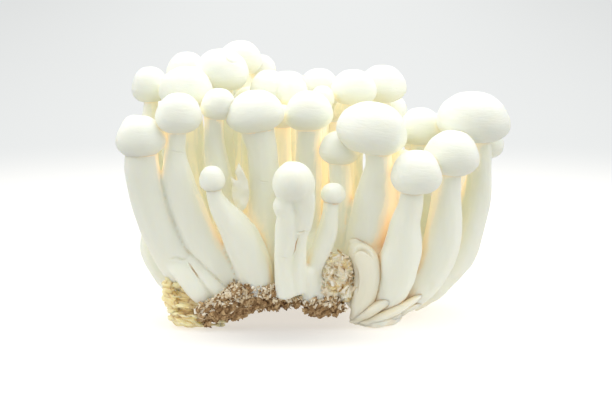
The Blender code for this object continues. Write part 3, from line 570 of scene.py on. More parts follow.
# %% The torn stub
STUB_MIDDLE = np.array([6.8, -27.5, 17.5])
DISH_DEPTH, DISH_WIDTH = 1.6, 2.6
points, normals, faces = melted([ball(STUB_MIDDLE, (4.9, 5.2, 5.9)), ball((4.5, -28, 12.5), (3.6, 3.4, 3.2)),
                                 ball((9.5, -27.5, 12), (2.6, 3.4, 4))], 0.24, 1)
away = points - STUB_MIDDLE
reach = np.hypot(away[:, 0], away[:, 2])
spiral = reach * 0.3 + np.arctan2(away[:, 2], away[:, 0]) / (2 * math.pi) + waves(points, 4.5, 71) * 0.5
swirl = np.abs(np.sin(math.pi * spiral))
crumbs = folds(points * (1, 1, 0.6), 1.6, 72)
facing = np.clip(-normals[:, 1], 0, 1)
points = points + normals * ((swirl - 0.6) * 1.5 * facing + (crumbs - 0.5) * 0.4)[:, None]
points[:, 1] += DISH_DEPTH * np.exp(-(reach / DISH_WIDTH) ** 2) * facing
pits = np.clip((0.34 - swirl) * 2.4, 0, 1) * np.clip(waves(points, 5, 73) * 0.7 + 0.4, 0, 1) * facing
# The pits between the swirl's ridges, on the side that faces the camera, get a brown mark, strongest near the
# middle.
stub = piece("torn_stub", points, faces, points, np.clip(pits * np.clip(1.5 - reach / 6, 0.2, 1), 0, 0.8))
store(stub, "gap", 0.45 + 0.4 * waves(points, 4, 74))
print("torn stub", len(faces), "faces")

# %% [markdown]
# ## The torn flap
# One stem has torn, and a flap of its skin stands off in front of the gap: a thin ragged sheet with its tip
# bent forward and a hollow at its foot.

# %% The torn flap
FLAP = [
    (-23.2, 50.7), (-21.7, 47.9), (-20.5, 44.8), (-20.0, 41.7), (-20.1, 39.3), (-21.1, 36.6), (-22.6, 35.3),
    (-23.9, 36.4), (-24.6, 38.0), (-25.3, 39.6), (-25.5, 41.7), (-25.1, 43.8), (-25.9, 46.3), (-24.4, 45.3),
    (-23.4, 44.9), (-24.4, 47.6),
]
FLAP_Y, FLAP_THICK, FLAP_MIDDLE = -23, 0.9, -22.5
BENT_FROM = 45
count = len(FLAP)
outline = [(x, FLAP_Y + side * FLAP_THICK / 2, z) for side in (-1, 1) for x, z in FLAP]
sheet = [tuple(range(count)), tuple(range(2 * count - 1, count - 1, -1))]
sheet += [(i, i + count, (i + 1) % count + count, (i + 1) % count) for i in range(count)]
points, normals, faces = melted([(outline, sheet)], 0.2, 2)
cupped = 0.16 * (points[:, 0] - FLAP_MIDDLE) ** 2 - 1.2
points[:, 1] += cupped + waves(points, 4, 80) * 0.3 - 0.1 * np.clip(points[:, 2] - BENT_FROM, 0, 9)
# Where the sheet faces sideways, at its rim, it gets a brown mark.
flap = piece("torn_flap", points, faces, points, 0.4 * np.clip(1 - 1.3 * np.abs(normals[:, 1]), 0, 1))
print("flap", len(faces), "faces")

# %% [markdown]
# ## Cracks and creases
# Fine cracks are cut where they run: the skin near a crack is divided finely, its points are pressed in
# along a line and a mark is stored there, which the material turns brown: the crack's own colour, and
# painted shade along wide creases. A crack tapers towards both its ends.


# %% Score a line into a skin
def off_line(grid, line, limit):
    """Each point's distance from a line of (x, z), and where along the line it is nearest, from 0 to 1. The
    distance is a great one where the point faces away or lies further back than the limit."""
    grid.verts.index_update()
    grid.verts.ensure_lookup_table()
    grid.normal_update()
    places = np.array([v.co for v in grid.verts]) / MM
    across, up = places[:, 0], places[:, 2]
    best, share = np.full(len(across), 1e9), np.zeros(len(across))
    for i, ((x0, z0), (x1, z1)) in enumerate(zip(line, line[1:])):
        along = ((across - x0) * (x1 - x0) + (up - z0) * (z1 - z0)) / ((x1 - x0) ** 2 + (z1 - z0) ** 2)
        along = np.clip(along, 0, 1)
        off = np.hypot(across - x0 - along * (x1 - x0), up - z0 - along * (z1 - z0))
        share = np.where(off < best, (i + along) / (len(line) - 1), share)
        best = np.minimum(best, off)
    facing = np.array([v.normal.y for v in grid.verts]) < 0.2
    return np.where(facing & (places[:, 1] < limit), best, 1e9), share


def score(made, cracks):
    """Presses creases into the side of a piece that faces the camera."""
    grid = bmesh.new()
    grid.from_mesh(made.data)
    stain_and_shade = grid.verts.layers.float["stain_and_shade"]
    for line, limit, width, depth, brown in cracks:
        line = smooth_line(np.array(line, float), 5)
        for reach in (4 * width, 2.5 * width):
            close = off_line(grid, line, limit)[0] < reach + 0.4
            edges = [e for e in grid.edges if close[e.verts[0].index] and close[e.verts[1].index]]
            bmesh.ops.subdivide_edges(grid, edges=edges, cuts=1, use_grid_fill=True)
        off, share = off_line(grid, line, limit)
        fade = np.sin(math.pi * np.clip(share, 0.03, 0.97)) ** 0.6
        off = off / width / (0.4 + 0.6 * fade)
        for index in np.nonzero(off < 5)[0]:
            vert = grid.verts[index]
            press = math.exp(-off[index] ** 2) - 0.3 * math.exp(-(off[index] - 2.2) ** 2)
            vert.co -= vert.normal * press * fade[index] * depth * MM
            vert[stain_and_shade] = max(vert[stain_and_shade], math.exp(-(off[index] / 1.1) ** 2) * fade[index] * brown)
    grid.to_mesh(made.data)
    grid.free()
    made.data.shade_smooth()


# %% [markdown]
# Each crack is a line of (x, z), the y that its skin must lie in front of, its width, its depth, and how
# brown it is, from 0 to 1. The wide pale ones are only creases, and their brown, like that along the folds
# of the rounded stub, is painted shade.

# %% The cracks of each piece
CRACKS = {
    "front_flesh": [
        ([(-44.6, 54.5), (-43.2, 54.8), (-41.8, 54.4), (-40.4, 54.2), (-39.2, 53.4)], -24, 0.16, 0.2, 0.25),
        ([(-25.1, 15.3), (-24.6, 14.4), (-24.2, 13.1)], -20, 0.35, 0.5, 0.6),
        ([(-17.8, 45.4), (-16.3, 44.7), (-14.9, 44.6), (-13.7, 44.2)], -20, 0.16, 0.2, 0.15),
        ([(-5.6, 31.7), (-4.2, 31.4), (-3.0, 31.7), (-1.5, 31.1)], -30, 0.35, 0.4, 0.2),
        ([(-4.8, 30.3), (-5.7, 27.8), (-6.0, 25.7), (-6.9, 23.5)], -28, 0.14, 0.4, 0.4),
        ([(-10.4, 23.8), (-9.3, 23.6), (-8.1, 23.3)], -28, 0.2, 0.2, 0.2),
        ([(-38.8, 20.6), (-37.8, 19.2), (-36.6, 17.5), (-35.4, 15.8)], -22, 0.22, 0.5, 0.4),
        ([(-36.2, 17), (-34.8, 14.8), (-33, 12.2), (-31.6, 9.8)], -22, 0.5, 0.35, 0.08),
        ([(-44.2, 21.6), (-42.4, 21.9), (-40.6, 21.2), (-39.2, 21.4)], -22, 0.45, 0.4, 0.14),
        ([(-40.6, 25.4), (-37.6, 22.6), (-34, 19.4), (-30.4, 15.8), (-26.8, 12.4)], -22, 0.4, 0.35, 0.05),
    ],
    "rounded_stub": [
        ([(11.8, 23.4), (13.0, 24.8), (14.6, 25.0), (16.2, 24.2), (17.6, 22.6)], -22, 0.45, 0.9, 0.22),
        ([(12.2, 20.6), (13.0, 17.6), (13.0, 14.4), (12.6, 11)], -22, 0.35, 0.6, 0.3),
    ],
    "split_cap_cap": [
        ([(-27.9, 81.5), (-27.3, 80.2), (-25.8, 79.4), (-23.9, 79.4)], 2, 0.22, 0.4, 0.3),
        ([(-37.3, 78.4), (-36.4, 80.2), (-34.2, 81.8), (-31.2, 82.6)], 2, 0.3, 0.3, 0.1),
    ],
}
by_name = {made.name: made for made in [*cap_pieces, *loose_pieces, front]}
for name, cracks in CRACKS.items():
    score(by_name[name], cracks)
    print(name, len(cracks), "cracks")

# %% [markdown]
# ## The sawdust
# The crust is a rough slab under and before the foot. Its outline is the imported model's. A voxel remesh
# makes it fine, smooth noise roughens it, and a few thousand chips and crumbs of wood are scattered over
# it.

# %% The slab of sawdust
# Across the slab: x, the underside and the top at the front, and the top further back.
CRUST = [
    (-35.8, 2.2, 6.6, 5.0), (-32.6, 1.0, 9.2, 6.5), (-29.4, 3.2, 10.6, 8.0), (-26.4, 2.8, 13.4, 9.5),
    (-23.2, 3.2, 13.8, 10.0), (-20.4, 5.2, 14.4, 10.5), (-17.0, 5.5, 14.8, 11.0), (-13.6, 5.9, 13.4, 11.0),
    (-10.4, 6.3, 11.2, 11.0), (-7.0, 7.2, 10.2, 11.0), (-3.6, 7.2, 9.8, 10.5), (-1.8, 5.0, 9.8, 10.0),
    (1.4, 4.0, 9.8, 9.5), (4.0, 4.4, 10.2, 8.5), (6.4, 3.8, 9.0, 8.0), (9.4, 4.6, 7.4, 7.0),
]
# From front to back: y, and how far the left and the right end are drawn in.
CRUST_ROWS = [
    (-32.3, 0.0, 0.0), (-30.5, 0.0, 0.2), (-27.0, 0.8, 1.2), (-22.0, 2.2, 0.4), (-16.0, 1.0, 2.2),
    (-9.0, 3.2, 0.8), (-2.0, 1.6, 2.6), (5.0, 3.6, 1.4), (11.0, 4.5, 4.0), (15.0, 9.0, 7.5),
]
CRUST_FRONT = 3
CRUST_VOXEL = 0.36
CRUST_EDGE, CRUST_MIDDLE = 0.7, 8


def crust_sheet(draw):
    """The crust's points, row by row: its underside and its top."""
    under, over = [], []
    last, end = len(CRUST_ROWS) - 1, len(CRUST) - 1
    for j, (y, left, right) in enumerate(CRUST_ROWS):
        for i, (x, low, front, inner) in enumerate(CRUST):
            edge = i in (0, end) or j in (0, last)
            shift_x, shift_y, dip = draw.uniform(-0.5, 0.5), draw.uniform(-0.6, 0.6), draw.uniform(-0.7, 0.7)
            drawn_in = left * (1 - i / end) ** 2 - right * (i / end) ** 2
            back = 1.6 * (j == 0) * (i > CRUST_MIDDLE) - (j == last) * abs(i - CRUST_MIDDLE) * 0.5
            place = (x + shift_x + drawn_in, y + shift_y + back)
            rise = CRUST_EDGE if edge else 0.0
            top = front + dip * 0.6 if j < CRUST_FRONT else inner
            under.append((*place, max(0.4, low + 0.08 * j + rise + dip)))
            over.append((*(place if edge or j < CRUST_FRONT else (x + drawn_in, y)), top - rise))
    return under, over


def crust_slab():
    """Points and faces of the slab: its underside, its top and a rim between them."""
    under, over = crust_sheet(random.Random(SEED))
    wide, deep = len(CRUST), len(CRUST_ROWS)
    count = wide * deep
    faces = []
    for j in range(deep - 1):
        for i in range(wide - 1):
            a, b, c, d = j * wide + i, j * wide + i + 1, (j + 1) * wide + i + 1, (j + 1) * wide + i
            faces += [(a, d, c), (a, c, b)]
            faces += [(count + a, count + b, count + c), (count + a, count + c, count + d)]
    ring = [*range(wide), *[j * wide + wide - 1 for j in range(1, deep)]]
    ring += [count - 1 - i for i in range(1, wide)] + [j * wide for j in range(deep - 2, 0, -1)]
    for a, b in zip(ring, ring[1:] + ring[:1]):
        faces += [(a, b, count + b), (a, count + b, count + a)]
    return under + over, faces


points, normals, faces = melted([crust_slab()], CRUST_VOXEL, 1)
rough = folds(points, 3.4, 70) * 1.8 + folds(points, 1.3, 71) * 0.7 - 1.6
points = points + normals * rough[:, None]
points[:, 2] = np.maximum(points[:, 2], 0.1)
crust = piece("sawdust_slab", points, faces, points)
print("crust", len(faces), "faces")

# %% [markdown]
# ## Chips, slivers and crumbs
# Sawdust is seen as single chips at its surface. They are small flakes with a tone of their own, from dark
# bark to pale wood, strewn over the slab's skin. White crumbs of mycelium sit along the top edge, where it
# runs into the stems, and a few cream flakes on the torn stub.

# %% Strewn flakes
TILT = (-0.8, 0.8)


def strewn(name, surface, count, sizes, keep, tones, seed, sunk=0.2):
    """One mesh of flakes on the faces that keep(middle, normal) wants. tones gives each a tone."""
    draw = random.Random(seed)
    wanted = [(p.center / MM, p.normal.copy()) for p in surface.data.polygons
              if keep(p.center / MM, p.normal)]
    verts, faces, tone = [], [], []
    corners = [Vector((a, b, c)) for a in (-1, 1) for b in (-1, 1) for c in (-1, 1)]
    box = [(0, 1, 3, 2), (4, 6, 7, 5), (0, 4, 5, 1), (2, 3, 7, 6), (0, 2, 6, 4), (1, 5, 7, 3)]
    for _ in range(count):
        place, normal = draw.choice(wanted)
        half = Vector([draw.uniform(*s) / 2 for s in sizes])
        tilt = Euler((draw.uniform(*TILT), draw.uniform(*TILT), draw.uniform(0, 6.3)))
        turned = normal.to_track_quat("Z", "Y") @ tilt.to_quaternion()
        middle = place + normal * (half.z - sunk)
        middle.z = max(middle.z, half.length + 0.1)
        first = len(verts)
        for corner in corners:
            jitter = Vector([c * h * draw.uniform(0.45, 1.0) for c, h in zip(corner, half)])
            verts.append(middle + turned @ jitter)
        faces += [tuple(first + i for i in f) for f in box]
        tone += [tones(draw, place)] * 8
    made = piece(name, [tuple(v) for v in verts], faces, [tuple(v) for v in verts])
    made.data.attributes.new("tone", "FLOAT", "POINT").data.foreach_set("value", tone)
    made.data.shade_flat()
    return made


# %% [markdown]
# Where a flake may lie, and how dark it is, depends on how high up it sits: the crust is dark bark below
# and turns pale with mycelium at its top edge.


# %% Where flakes lie and what tone they have
def front_height(place):
    """0 at the underside of the crust's front to 1 at its top edge."""
    xs = [row[0] for row in CRUST]
    low, high = (np.interp(place.x, xs, [row[k] for row in CRUST]) for k in (1, 2))
    return max(0.0, min(1.0, (place.z - low) / (high - low)))


def outside(place, normal):
    """The crust's front, sides and underside."""
    return normal.y < 0.3 or normal.z < 0


def top_edge(place, normal):
    """The upper half of the crust's front."""
    return place.y < -24 and front_height(place) > 0.5


def torn_side(place, normal):
    """The side of the torn stub that faces the camera."""
    return normal.y < 0 and place.z > 11


def wood_tone(draw, place):
    """Patches some millimetres wide, paler at the top edge, and now and then a bright or a black flake."""
    patch = float(waves(np.array([place]), 4.5, 90, count=5)[0])
    height = front_height(place) if place.y < -26 else 0.3
    tone = 0.26 + 0.22 * patch + 0.5 * height**1.4 + draw.gauss(0, 0.12)
    if draw.random() < 0.1:
        tone = draw.choice((0.0, 0.85))
    return min(1.0, max(0.0, tone))


def pale_tone(draw, place):
    """Mostly the white of mycelium, with now and then a browner crumb."""
    return draw.uniform(0.7, 1.0) if draw.random() < 0.8 else draw.uniform(0.1, 0.5)


def cream_tone(draw, place):
    """Mostly cream like the torn flesh, with now and then a browner flake."""
    return draw.uniform(0.8, 1.0) if draw.random() < 0.9 else draw.uniform(0.4, 0.7)


# Each row: the name, how many, the ranges of length, width and thickness, where, the tone, and how deep
# they sit.
FLAKES = [
    ("sawdust_chips", 2600, ((0.5, 1.9), (0.3, 1.0), (0.2, 0.6)), outside, wood_tone, 0.2),
    ("sawdust_slivers", 1100, ((1.2, 3.4), (0.15, 0.4), (0.15, 0.3)), outside, wood_tone, 0.1),
    ("mycelium_crumbs", 1400, ((0.4, 2.2), (0.3, 0.9), (0.3, 0.8)), top_edge, pale_tone, 0.0),
]
TORN_FLAKES = ((1.0, 3.4), (0.5, 1.2), (0.12, 0.25))
flakes = [strewn(name, crust, count, sizes, keep, tones, 21 + n, sunk)
          for n, (name, count, sizes, keep, tones, sunk) in enumerate(FLAKES)]
torn_flakes = strewn("torn_flakes", stub, 170, TORN_FLAKES, torn_side, cream_tone, 31, -0.15)
print(sum(len(f.data.polygons) for f in [*flakes, torn_flakes]), "faces of flakes")

# %% [markdown]
# ## How deep in a gap each point lies
# Between the stems the light has bounced from flesh to flesh so often that the gaps glow a warm cream. A
# renderer with few bounces leaves them grey, so each point stores how much of its sky the other mushrooms
# take away: rays are cast from it, and those that soon meet something are counted. Three masks come of it:
# gap paints warm bounce light into the colour, and low down also the yellower colour of the cut flesh;
# crease paints darker shade where two pieces all but touch; and glow, only between the upper stems, is a
# painted glow that stands in for light that has come through the flesh.

# %% Count the blocked rays
GAP_REACH = 16
CREASE_REACH = 3.0
GLOW_HEIGHTS, GLOW_GAPS = (18, 44), (0.3, 0.75)
# The painted crease shade is fainter up among the caps.
CREASE_HEIGHTS = (35, 55)  # creases are fainter up among the caps
CUT_HEIGHTS = (2, 14)  # the flesh is yellower where it was cut
CAP_SHARE = 0.6
LOOSE_SHARE = 0.6  # the slabs and the rounded stub lie close, with hardly a gap
BLEND = 3  # where the two halves run into each other, they don't count as each other's walls
RAYS = 12
RAY_TURN = 2.399963  # each ray is turned this much further round than the last, which spreads them evenly
RAY_START = 0.15


def ray_fan():
    """Directions spread over half a sky, with its top along z."""
    steps = [((k + 0.5) / RAYS, k * RAY_TURN) for k in range(RAYS)]
    return [Vector((math.sqrt(u) * math.cos(a), math.sqrt(u) * math.sin(a), math.sqrt(1 - u)))
            for u, a in steps]


def wall_tree(pieces):
    """A tree of all faces to cast rays at, each face's piece, and how much its creases count."""
    points, faces, owners, shares = [], [], [], []
    for made in pieces:
        first = len(points)
        points += [v.co / MM for v in made.data.vertices]
        faces += [tuple(first + i for i in p.vertices) for p in made.data.polygons]
        owners += [made] * len(made.data.polygons)
        shares += [LOOSE_SHARE if made in loose_pieces else 1] * len(made.data.polygons)
    return BVHTree.FromPolygons(points, faces), owners, shares


def measure_gaps(pieces):
    """Stores gap, crease and glow, the masks of painted light and shade, on each of the pieces."""
    tree, owners, shares = wall_tree(pieces)
    rays = ray_fan()
    for made in pieces:
        gap, crease = np.zeros(len(made.data.vertices)), np.zeros(len(made.data.vertices))
        for index, vert in enumerate(made.data.vertices):
            turned = vert.normal.to_track_quat("Z", "Y")
            start = vert.co / MM + vert.normal * RAY_START
            for ray in rays:
                _, _, face, distance = tree.ray_cast(start, turned @ ray, GAP_REACH)
                if face is None or (distance < BLEND and {made, owners[face]} == {front, back}):
                    continue
                gap[index] += (1 - distance / GAP_REACH * 0.6) / RAYS
                crease[index] += max(0.0, 1 - distance / CREASE_REACH) / RAYS * shares[face]
        if made in cap_pieces:
            gap, crease = gap * CAP_SHARE, crease * CAP_SHARE
        if made in loose_pieces:
            crease *= LOOSE_SHARE
        places = np.array([v.co for v in made.data.vertices]) / MM
        heights = places[:, 2]
        crease *= np.interp(heights, CREASE_HEIGHTS, (1, 0.4))
        glow = np.interp(gap, GLOW_GAPS, (0, 1)) * np.interp(heights, GLOW_HEIGHTS, (0, 1)) * (1 - crease)
        patches = waves(places, 7, 68) * np.interp(heights, CUT_HEIGHTS, (0.15, 0))
        gap += np.interp(heights, CUT_HEIGHTS, (0.5, 0)) + patches
        for mask, values in (("gap", gap), ("crease", crease), ("glow", glow)):
            store(made, mask, values)


measure_gaps([*cap_pieces, *loose_pieces, front, back])
flesh_pieces = [*cap_pieces, *loose_pieces, front, back, butt, stub, flap]
print("gaps measured")

# %% [markdown]
# ## Finishes
# The flesh is matt to satin, off-white with a hint of green, and light soaks a few millimetres into it.
# Fine fibres run along each stem. Two effects are shared, so each is a node group: fibres, and the colour
# with painted warm light in gaps, painted shade in creases and brown stains.


# %% Helpers for nodes
def group(name, sockets):
    """An empty node group. Each socket is (name, kind, INPUT or OUTPUT, default)."""
    made = bpy.data.node_groups.new(name, "ShaderNodeTree")
    for label, kind, way, default in sockets:
        socket = made.interface.new_socket(label, in_out=way, socket_type="NodeSocket" + kind)
        if default is not None:
            socket.default_value = default
    return made, made.nodes.new("NodeGroupInput"), made.nodes.new("NodeGroupOutput")


def add(tree, kind, inputs=(), **settings):
    """A node with its settings and its inputs, each a value or another node's socket."""
    node = tree.nodes.new(kind)
    for key, value in settings.items():
        setattr(node, key, value)
    for key, value in dict(inputs).items():
        if isinstance(value, bpy.types.NodeSocket):
            tree.links.new(value, node.inputs[key])
        else:
            node.inputs[key].default_value = value
    return node


def eased(tree, value, start, end, low=0.0, high=1.0):
    """The value mapped from start and end to low and high, with a soft run in and out."""
    inputs = {"Value": value, "From Min": start, "From Max": end, "To Min": low, "To Max": high}
    return add(tree, "ShaderNodeMapRange", inputs, interpolation_type="SMOOTHSTEP").outputs[0]


def mixed(tree, share, first, second, blend="MIX"):
    """A mix of two colours, each a socket or three numbers."""
    first, second = [c if isinstance(c, bpy.types.NodeSocket) else (*c, 1) for c in (first, second)]
    inputs = {0: share, 6: first, 7: second}
    return add(tree, "ShaderNodeMix", inputs, data_type="RGBA", blend_type=blend).outputs[2]


# %% [markdown]
# The flesh's colour starts as its own, and each mask in turn draws it towards another tone: warm in gaps
# with painted bounce light, amber with painted shade in creases, and brown for stains and for painted shade
# in grooves.

# %% Node groups
TONES = ("Flesh", "Warm", "Amber", "Brown")
# Gap paints warm bounce light and Crease paints shade; the last mask holds stains and painted groove shade.
MASKS = {"Gap": ("Warm", 0.3, 0.8), "Crease": ("Amber", 0.04, 0.7), "Stain_and_shade": ("Brown", 0.0, 1.0)}


def fibres_group():
    """Fine noise that is stretched along the grain."""
    sockets = [("Grain", "Vector", "INPUT", None), ("Size", "Float", "INPUT", 1.0),
               ("Stretch", "Float", "INPUT", 0.08), ("Height", "Float", "OUTPUT", None)]
    tree, start, end = group("fibres", sockets)
    lengthways = add(tree, "ShaderNodeCombineXYZ", {0: 1.0, 1: 1.0, 2: start.outputs["Stretch"]}).outputs[0]
    along = add(tree, "ShaderNodeVectorMath", {0: start.outputs["Grain"], 1: lengthways},
                operation="MULTIPLY")
    scale = add(tree, "ShaderNodeMath", {0: 1.0, 1: start.outputs["Size"]}, operation="DIVIDE").outputs[0]
    fine = add(tree, "ShaderNodeTexNoise", {"Vector": along.outputs[0], "Scale": scale, "Detail": 4.0,
                                            "Roughness": 0.6})
    tree.links.new(fine.outputs["Fac"], end.inputs["Height"])
    return tree


def shaded_group():
    """The flesh's colour: painted warm light in gaps, painted shade in creases, brown for stains and grooves.
    """
    tree, start, end = group("shaded_flesh", [*[(name, "Color", "INPUT", (1, 1, 1, 1)) for name in TONES],
                                              *[(name, "Float", "INPUT", 0.0) for name in MASKS],
                                              ("Colour", "Color", "OUTPUT", None)])
    colour = start.outputs["Flesh"]
    for mask, (tone, low, high) in MASKS.items():
        colour = mixed(tree, eased(tree, start.outputs[mask], low, high), colour, start.outputs[tone])
    tree.links.new(colour, end.inputs["Colour"])
    return tree


fibres, shaded = fibres_group(), shaded_group()
print("node groups", [g.name for g in bpy.data.node_groups])


# %% The flesh
def principled(name, roughness, **constants):
    """A material, its tree and its shader, with some of the shader's inputs set."""
    made = bpy.data.materials.new(name)
    made.use_nodes = True
    shader = made.node_tree.nodes["Principled BSDF"]
    shader.inputs["Roughness"].default_value = roughness
    for key, value in constants.items():
        shader.inputs[key.replace("_", " ")].default_value = value
    return made, made.node_tree, shader


def flesh_material(name, tones, fibre_height, glow=None):
    """tones: flesh, painted light in gaps, painted shade in creases, stains; glow is a painted glow."""
    made, tree, shader = principled(name, 0.5, Subsurface_Weight=1.0, Subsurface_Scale=0.0025,
                                    Subsurface_Radius=(1.0, 0.93, 0.8), Specular_IOR_Level=0.3,
                                    Emission_Strength=1.0 if glow else 0.0)
    masks = {mask: add(tree, "ShaderNodeAttribute", attribute_name=mask.lower()).outputs["Fac"]
             for mask in (*MASKS, "Glow")}
    colour = add(tree, "ShaderNodeGroup", node_tree=shaded)
    for label, tone in zip(TONES, tones):
        colour.inputs[label].default_value = (*tone, 1)
    for mask in MASKS:
        tree.links.new(masks[mask], colour.inputs[mask])
    tree.links.new(colour.outputs["Colour"], shader.inputs["Base Color"])
    if glow:
        tree.links.new(mixed(tree, masks["Glow"], (0, 0, 0), glow), shader.inputs["Emission Color"])
    grain = add(tree, "ShaderNodeAttribute", attribute_name="grain")
    streaks = add(tree, "ShaderNodeGroup", node_tree=fibres)
    tree.links.new(grain.outputs["Vector"], streaks.inputs["Grain"])
    bump = add(tree, "ShaderNodeBump", {"Height": streaks.outputs["Height"], "Strength": 0.4,
                                        "Distance": fibre_height * MM})
    tree.links.new(bump.outputs["Normal"], shader.inputs["Normal"])
    return made


# Tones: the flesh; warm, painted bounce light in gaps (on the butt and the stub only patches of tone); amber,
# painted shade in creases; brown, stains and painted shade in grooves. glow is a painted glow.
CREASE_SHADE, BROWN = (0.70, 0.54, 0.31), (0.46, 0.30, 0.14)
CAP_TONES = [(0.89, 0.91, 0.81), (0.94, 0.86, 0.69), CREASE_SHADE, BROWN]
STEM_TONES = [(0.885, 0.90, 0.79), (0.94, 0.83, 0.64), CREASE_SHADE, BROWN]
LOOSE_TONES = [(0.84, 0.82, 0.69), (0.85, 0.77, 0.58), CREASE_SHADE, BROWN]
WAX_TONES = [(0.90, 0.78, 0.44), (0.87, 0.73, 0.42), (0.63, 0.46, 0.22), (0.40, 0.24, 0.10)]
TORN_TONES = [(0.93, 0.86, 0.66), (0.84, 0.68, 0.38), (0.55, 0.36, 0.15), (0.34, 0.19, 0.07)]
FINISHES = [
    (flesh_material("cap_skin", CAP_TONES, 0.5, glow=(0.38, 0.31, 0.22)), cap_pieces),
    (flesh_material("stem_flesh", STEM_TONES, 0.35, glow=(0.34, 0.268, 0.19)), [front, back, flap]),
    (flesh_material("loose_flesh", LOOSE_TONES, 0.35), loose_pieces),
    (flesh_material("waxy_flesh", WAX_TONES, 0.3), [butt]),
    (flesh_material("torn_flesh", TORN_TONES, 0.3), [stub]),
]
for finish, pieces in FINISHES:
    for made in pieces:
        made.data.materials.append(finish)
print("flesh finishes", [finish.name for finish, _ in FINISHES])


# %% The sawdust's finish
def sawdust_material(name, stops, by_tone):
    """Wood colours by each flake's own tone, or by noise on the slab."""
    made, tree, shader = principled(name, 0.9)
    if by_tone:
        tone = add(tree, "ShaderNodeAttribute", attribute_name="tone").outputs["Fac"]
    else:
        place = add(tree, "ShaderNodeAttribute", attribute_name="grain").outputs["Vector"]
        tone = add(tree, "ShaderNodeTexNoise", {"Vector": place, "Scale": 0.9, "Detail": 5.0,
                                                "Roughness": 0.75}).outputs["Fac"]
    ramp = add(tree, "ShaderNodeValToRGB", {"Fac": tone})
    for element in list(ramp.color_ramp.elements)[1:]:
        ramp.color_ramp.elements.remove(element)
    ramp.color_ramp.elements[0].position = stops[0][0]
    ramp.color_ramp.elements[0].color = (*stops[0][1], 1)
    for position, colour in stops[1:]:
        ramp.color_ramp.elements.new(position).color = (*colour, 1)
    tree.links.new(ramp.outputs["Color"], shader.inputs["Base Color"])
    return made


SAWDUST_TONES = [(0.0, (0.13, 0.06, 0.02)), (0.3, (0.40, 0.24, 0.10)), (0.6, (0.62, 0.45, 0.24)),
                 (0.8, (0.80, 0.68, 0.47)), (1.0, (0.92, 0.89, 0.78))]
SLAB_TONES = [(0.35, (0.18, 0.09, 0.035)), (0.5, (0.42, 0.26, 0.12)), (0.65, (0.64, 0.48, 0.27))]
crust.data.materials.append(sawdust_material("sawdust_bed", SLAB_TONES, False))
chip_finish = sawdust_material("sawdust_flakes", SAWDUST_TONES, True)
for made in [*flakes, torn_flakes]:
    made.data.materials.append(chip_finish)
print("finishes", [m.name for m in bpy.data.materials])

# %% [markdown]
# ## Stage, light and camera
# The picture is high key: a white table that gives off light like a backlit one, so that shadows stay
# faint, with a painted soft shadow under the clump, a dome of light that is weakest low down in front and
# behind, and a soft light above. What the table looks like to the camera and how much light it gives are
# set apart by the kind of ray, because a table that looks white would otherwise light the caps too strongly
# from below. The camera looks down by ten degrees.

# %% The table
TABLE_RADIUS, TABLE_DROP = 8, 0.0002
NEAR_TO_FAR = (0.13, 0.40)  # metres from the middle
OWN_NEAR, OWN_FAR = (0.42, 0.42, 0.42), (0.06, 0.06, 0.06)
GLOW_NEAR, GLOW_FAR = (0.68, 0.65, 0.595), (0.775, 0.79, 0.785)
SIDES, SIDES_DIM = (0.04, 0.4), 0.86
# The painted shadow under the clump is an ellipse: its middle, its half sizes, and how dim its middle is.
SHADE_MIDDLE, SHADE_HALF, SHADE_DIM = (-0.010, -0.042, 0), (0.050, 0.024, 1), 0.52
LIGHT_FADE, LIGHT_SHARES = (0.05, 0.13), (0.64, 0.02)


def table_glow(tree):
    """The table's glow, with a painted shadow under the clump: as the camera sees it, and a share as light.
    """
    place = add(tree, "ShaderNodeNewGeometry").outputs["Position"]
    distance = add(tree, "ShaderNodeVectorMath", {0: place}, operation="LENGTH").outputs["Value"]
    far = eased(tree, distance, *NEAR_TO_FAR)
    across = add(tree, "ShaderNodeSeparateXYZ", {0: place}).outputs["X"]
    aside = add(tree, "ShaderNodeMath", {0: across}, operation="ABSOLUTE").outputs[0]
    sides = eased(tree, aside, *SIDES, 1.0, SIDES_DIM)
    # A painted shadow: the glow is dimmed in an ellipse under the clump.
    away = add(tree, "ShaderNodeVectorMath", {0: place, 1: SHADE_MIDDLE}, operation="SUBTRACT")
    ratio = add(tree, "ShaderNodeVectorMath", {0: away.outputs[0], 1: SHADE_HALF}, operation="DIVIDE")
    off_middle = add(tree, "ShaderNodeVectorMath", {0: ratio.outputs[0]}, operation="LENGTH")
    shade = eased(tree, off_middle.outputs["Value"], 0.0, 1.0, SHADE_DIM, 1.0)
    dimmed = add(tree, "ShaderNodeMath", {0: sides, 1: shade}, operation="MULTIPLY").outputs[0]
    seen = mixed(tree, 1.0, mixed(tree, far, GLOW_NEAR, GLOW_FAR), dimmed, "MULTIPLY")
    lighting = mixed(tree, 1.0, seen, eased(tree, distance, *LIGHT_FADE, *LIGHT_SHARES), "MULTIPLY")
    ray = add(tree, "ShaderNodeLightPath")
    return mixed(tree, ray.outputs["Is Camera Ray"], lighting, seen), mixed(tree, far, OWN_NEAR, OWN_FAR)


def table():
    """A round white table that gives off light, as part of the stage."""
    grid = bmesh.new()
    drop = Matrix.Translation((0, 0, -TABLE_DROP))
    bmesh.ops.create_circle(grid, cap_ends=True, radius=TABLE_RADIUS, segments=96, matrix=drop)
    mesh = bpy.data.meshes.new("table")
    grid.to_mesh(mesh)
    grid.free()
    made = bpy.data.objects.new("table", mesh)
    bpy.context.scene.collection.objects.link(made)
    finish, tree, shader = principled("white_table", 0.8, Specular_IOR_Level=0.0, Emission_Strength=1.0)
    glow, own = table_glow(tree)
    tree.links.new(own, shader.inputs["Base Color"])
    tree.links.new(glow, shader.inputs["Emission Color"])
    mesh.materials.append(finish)


table()
print("table", 2 * TABLE_RADIUS, "metres wide")

# %% Light
DOME_HEIGHTS, DOME_STRENGTHS = (0.05, 0.6), (0.46, 1.1)
DOME_SIDES, SIDE_STRENGTHS = (0.6, 1.0), (0.0, 1.2)


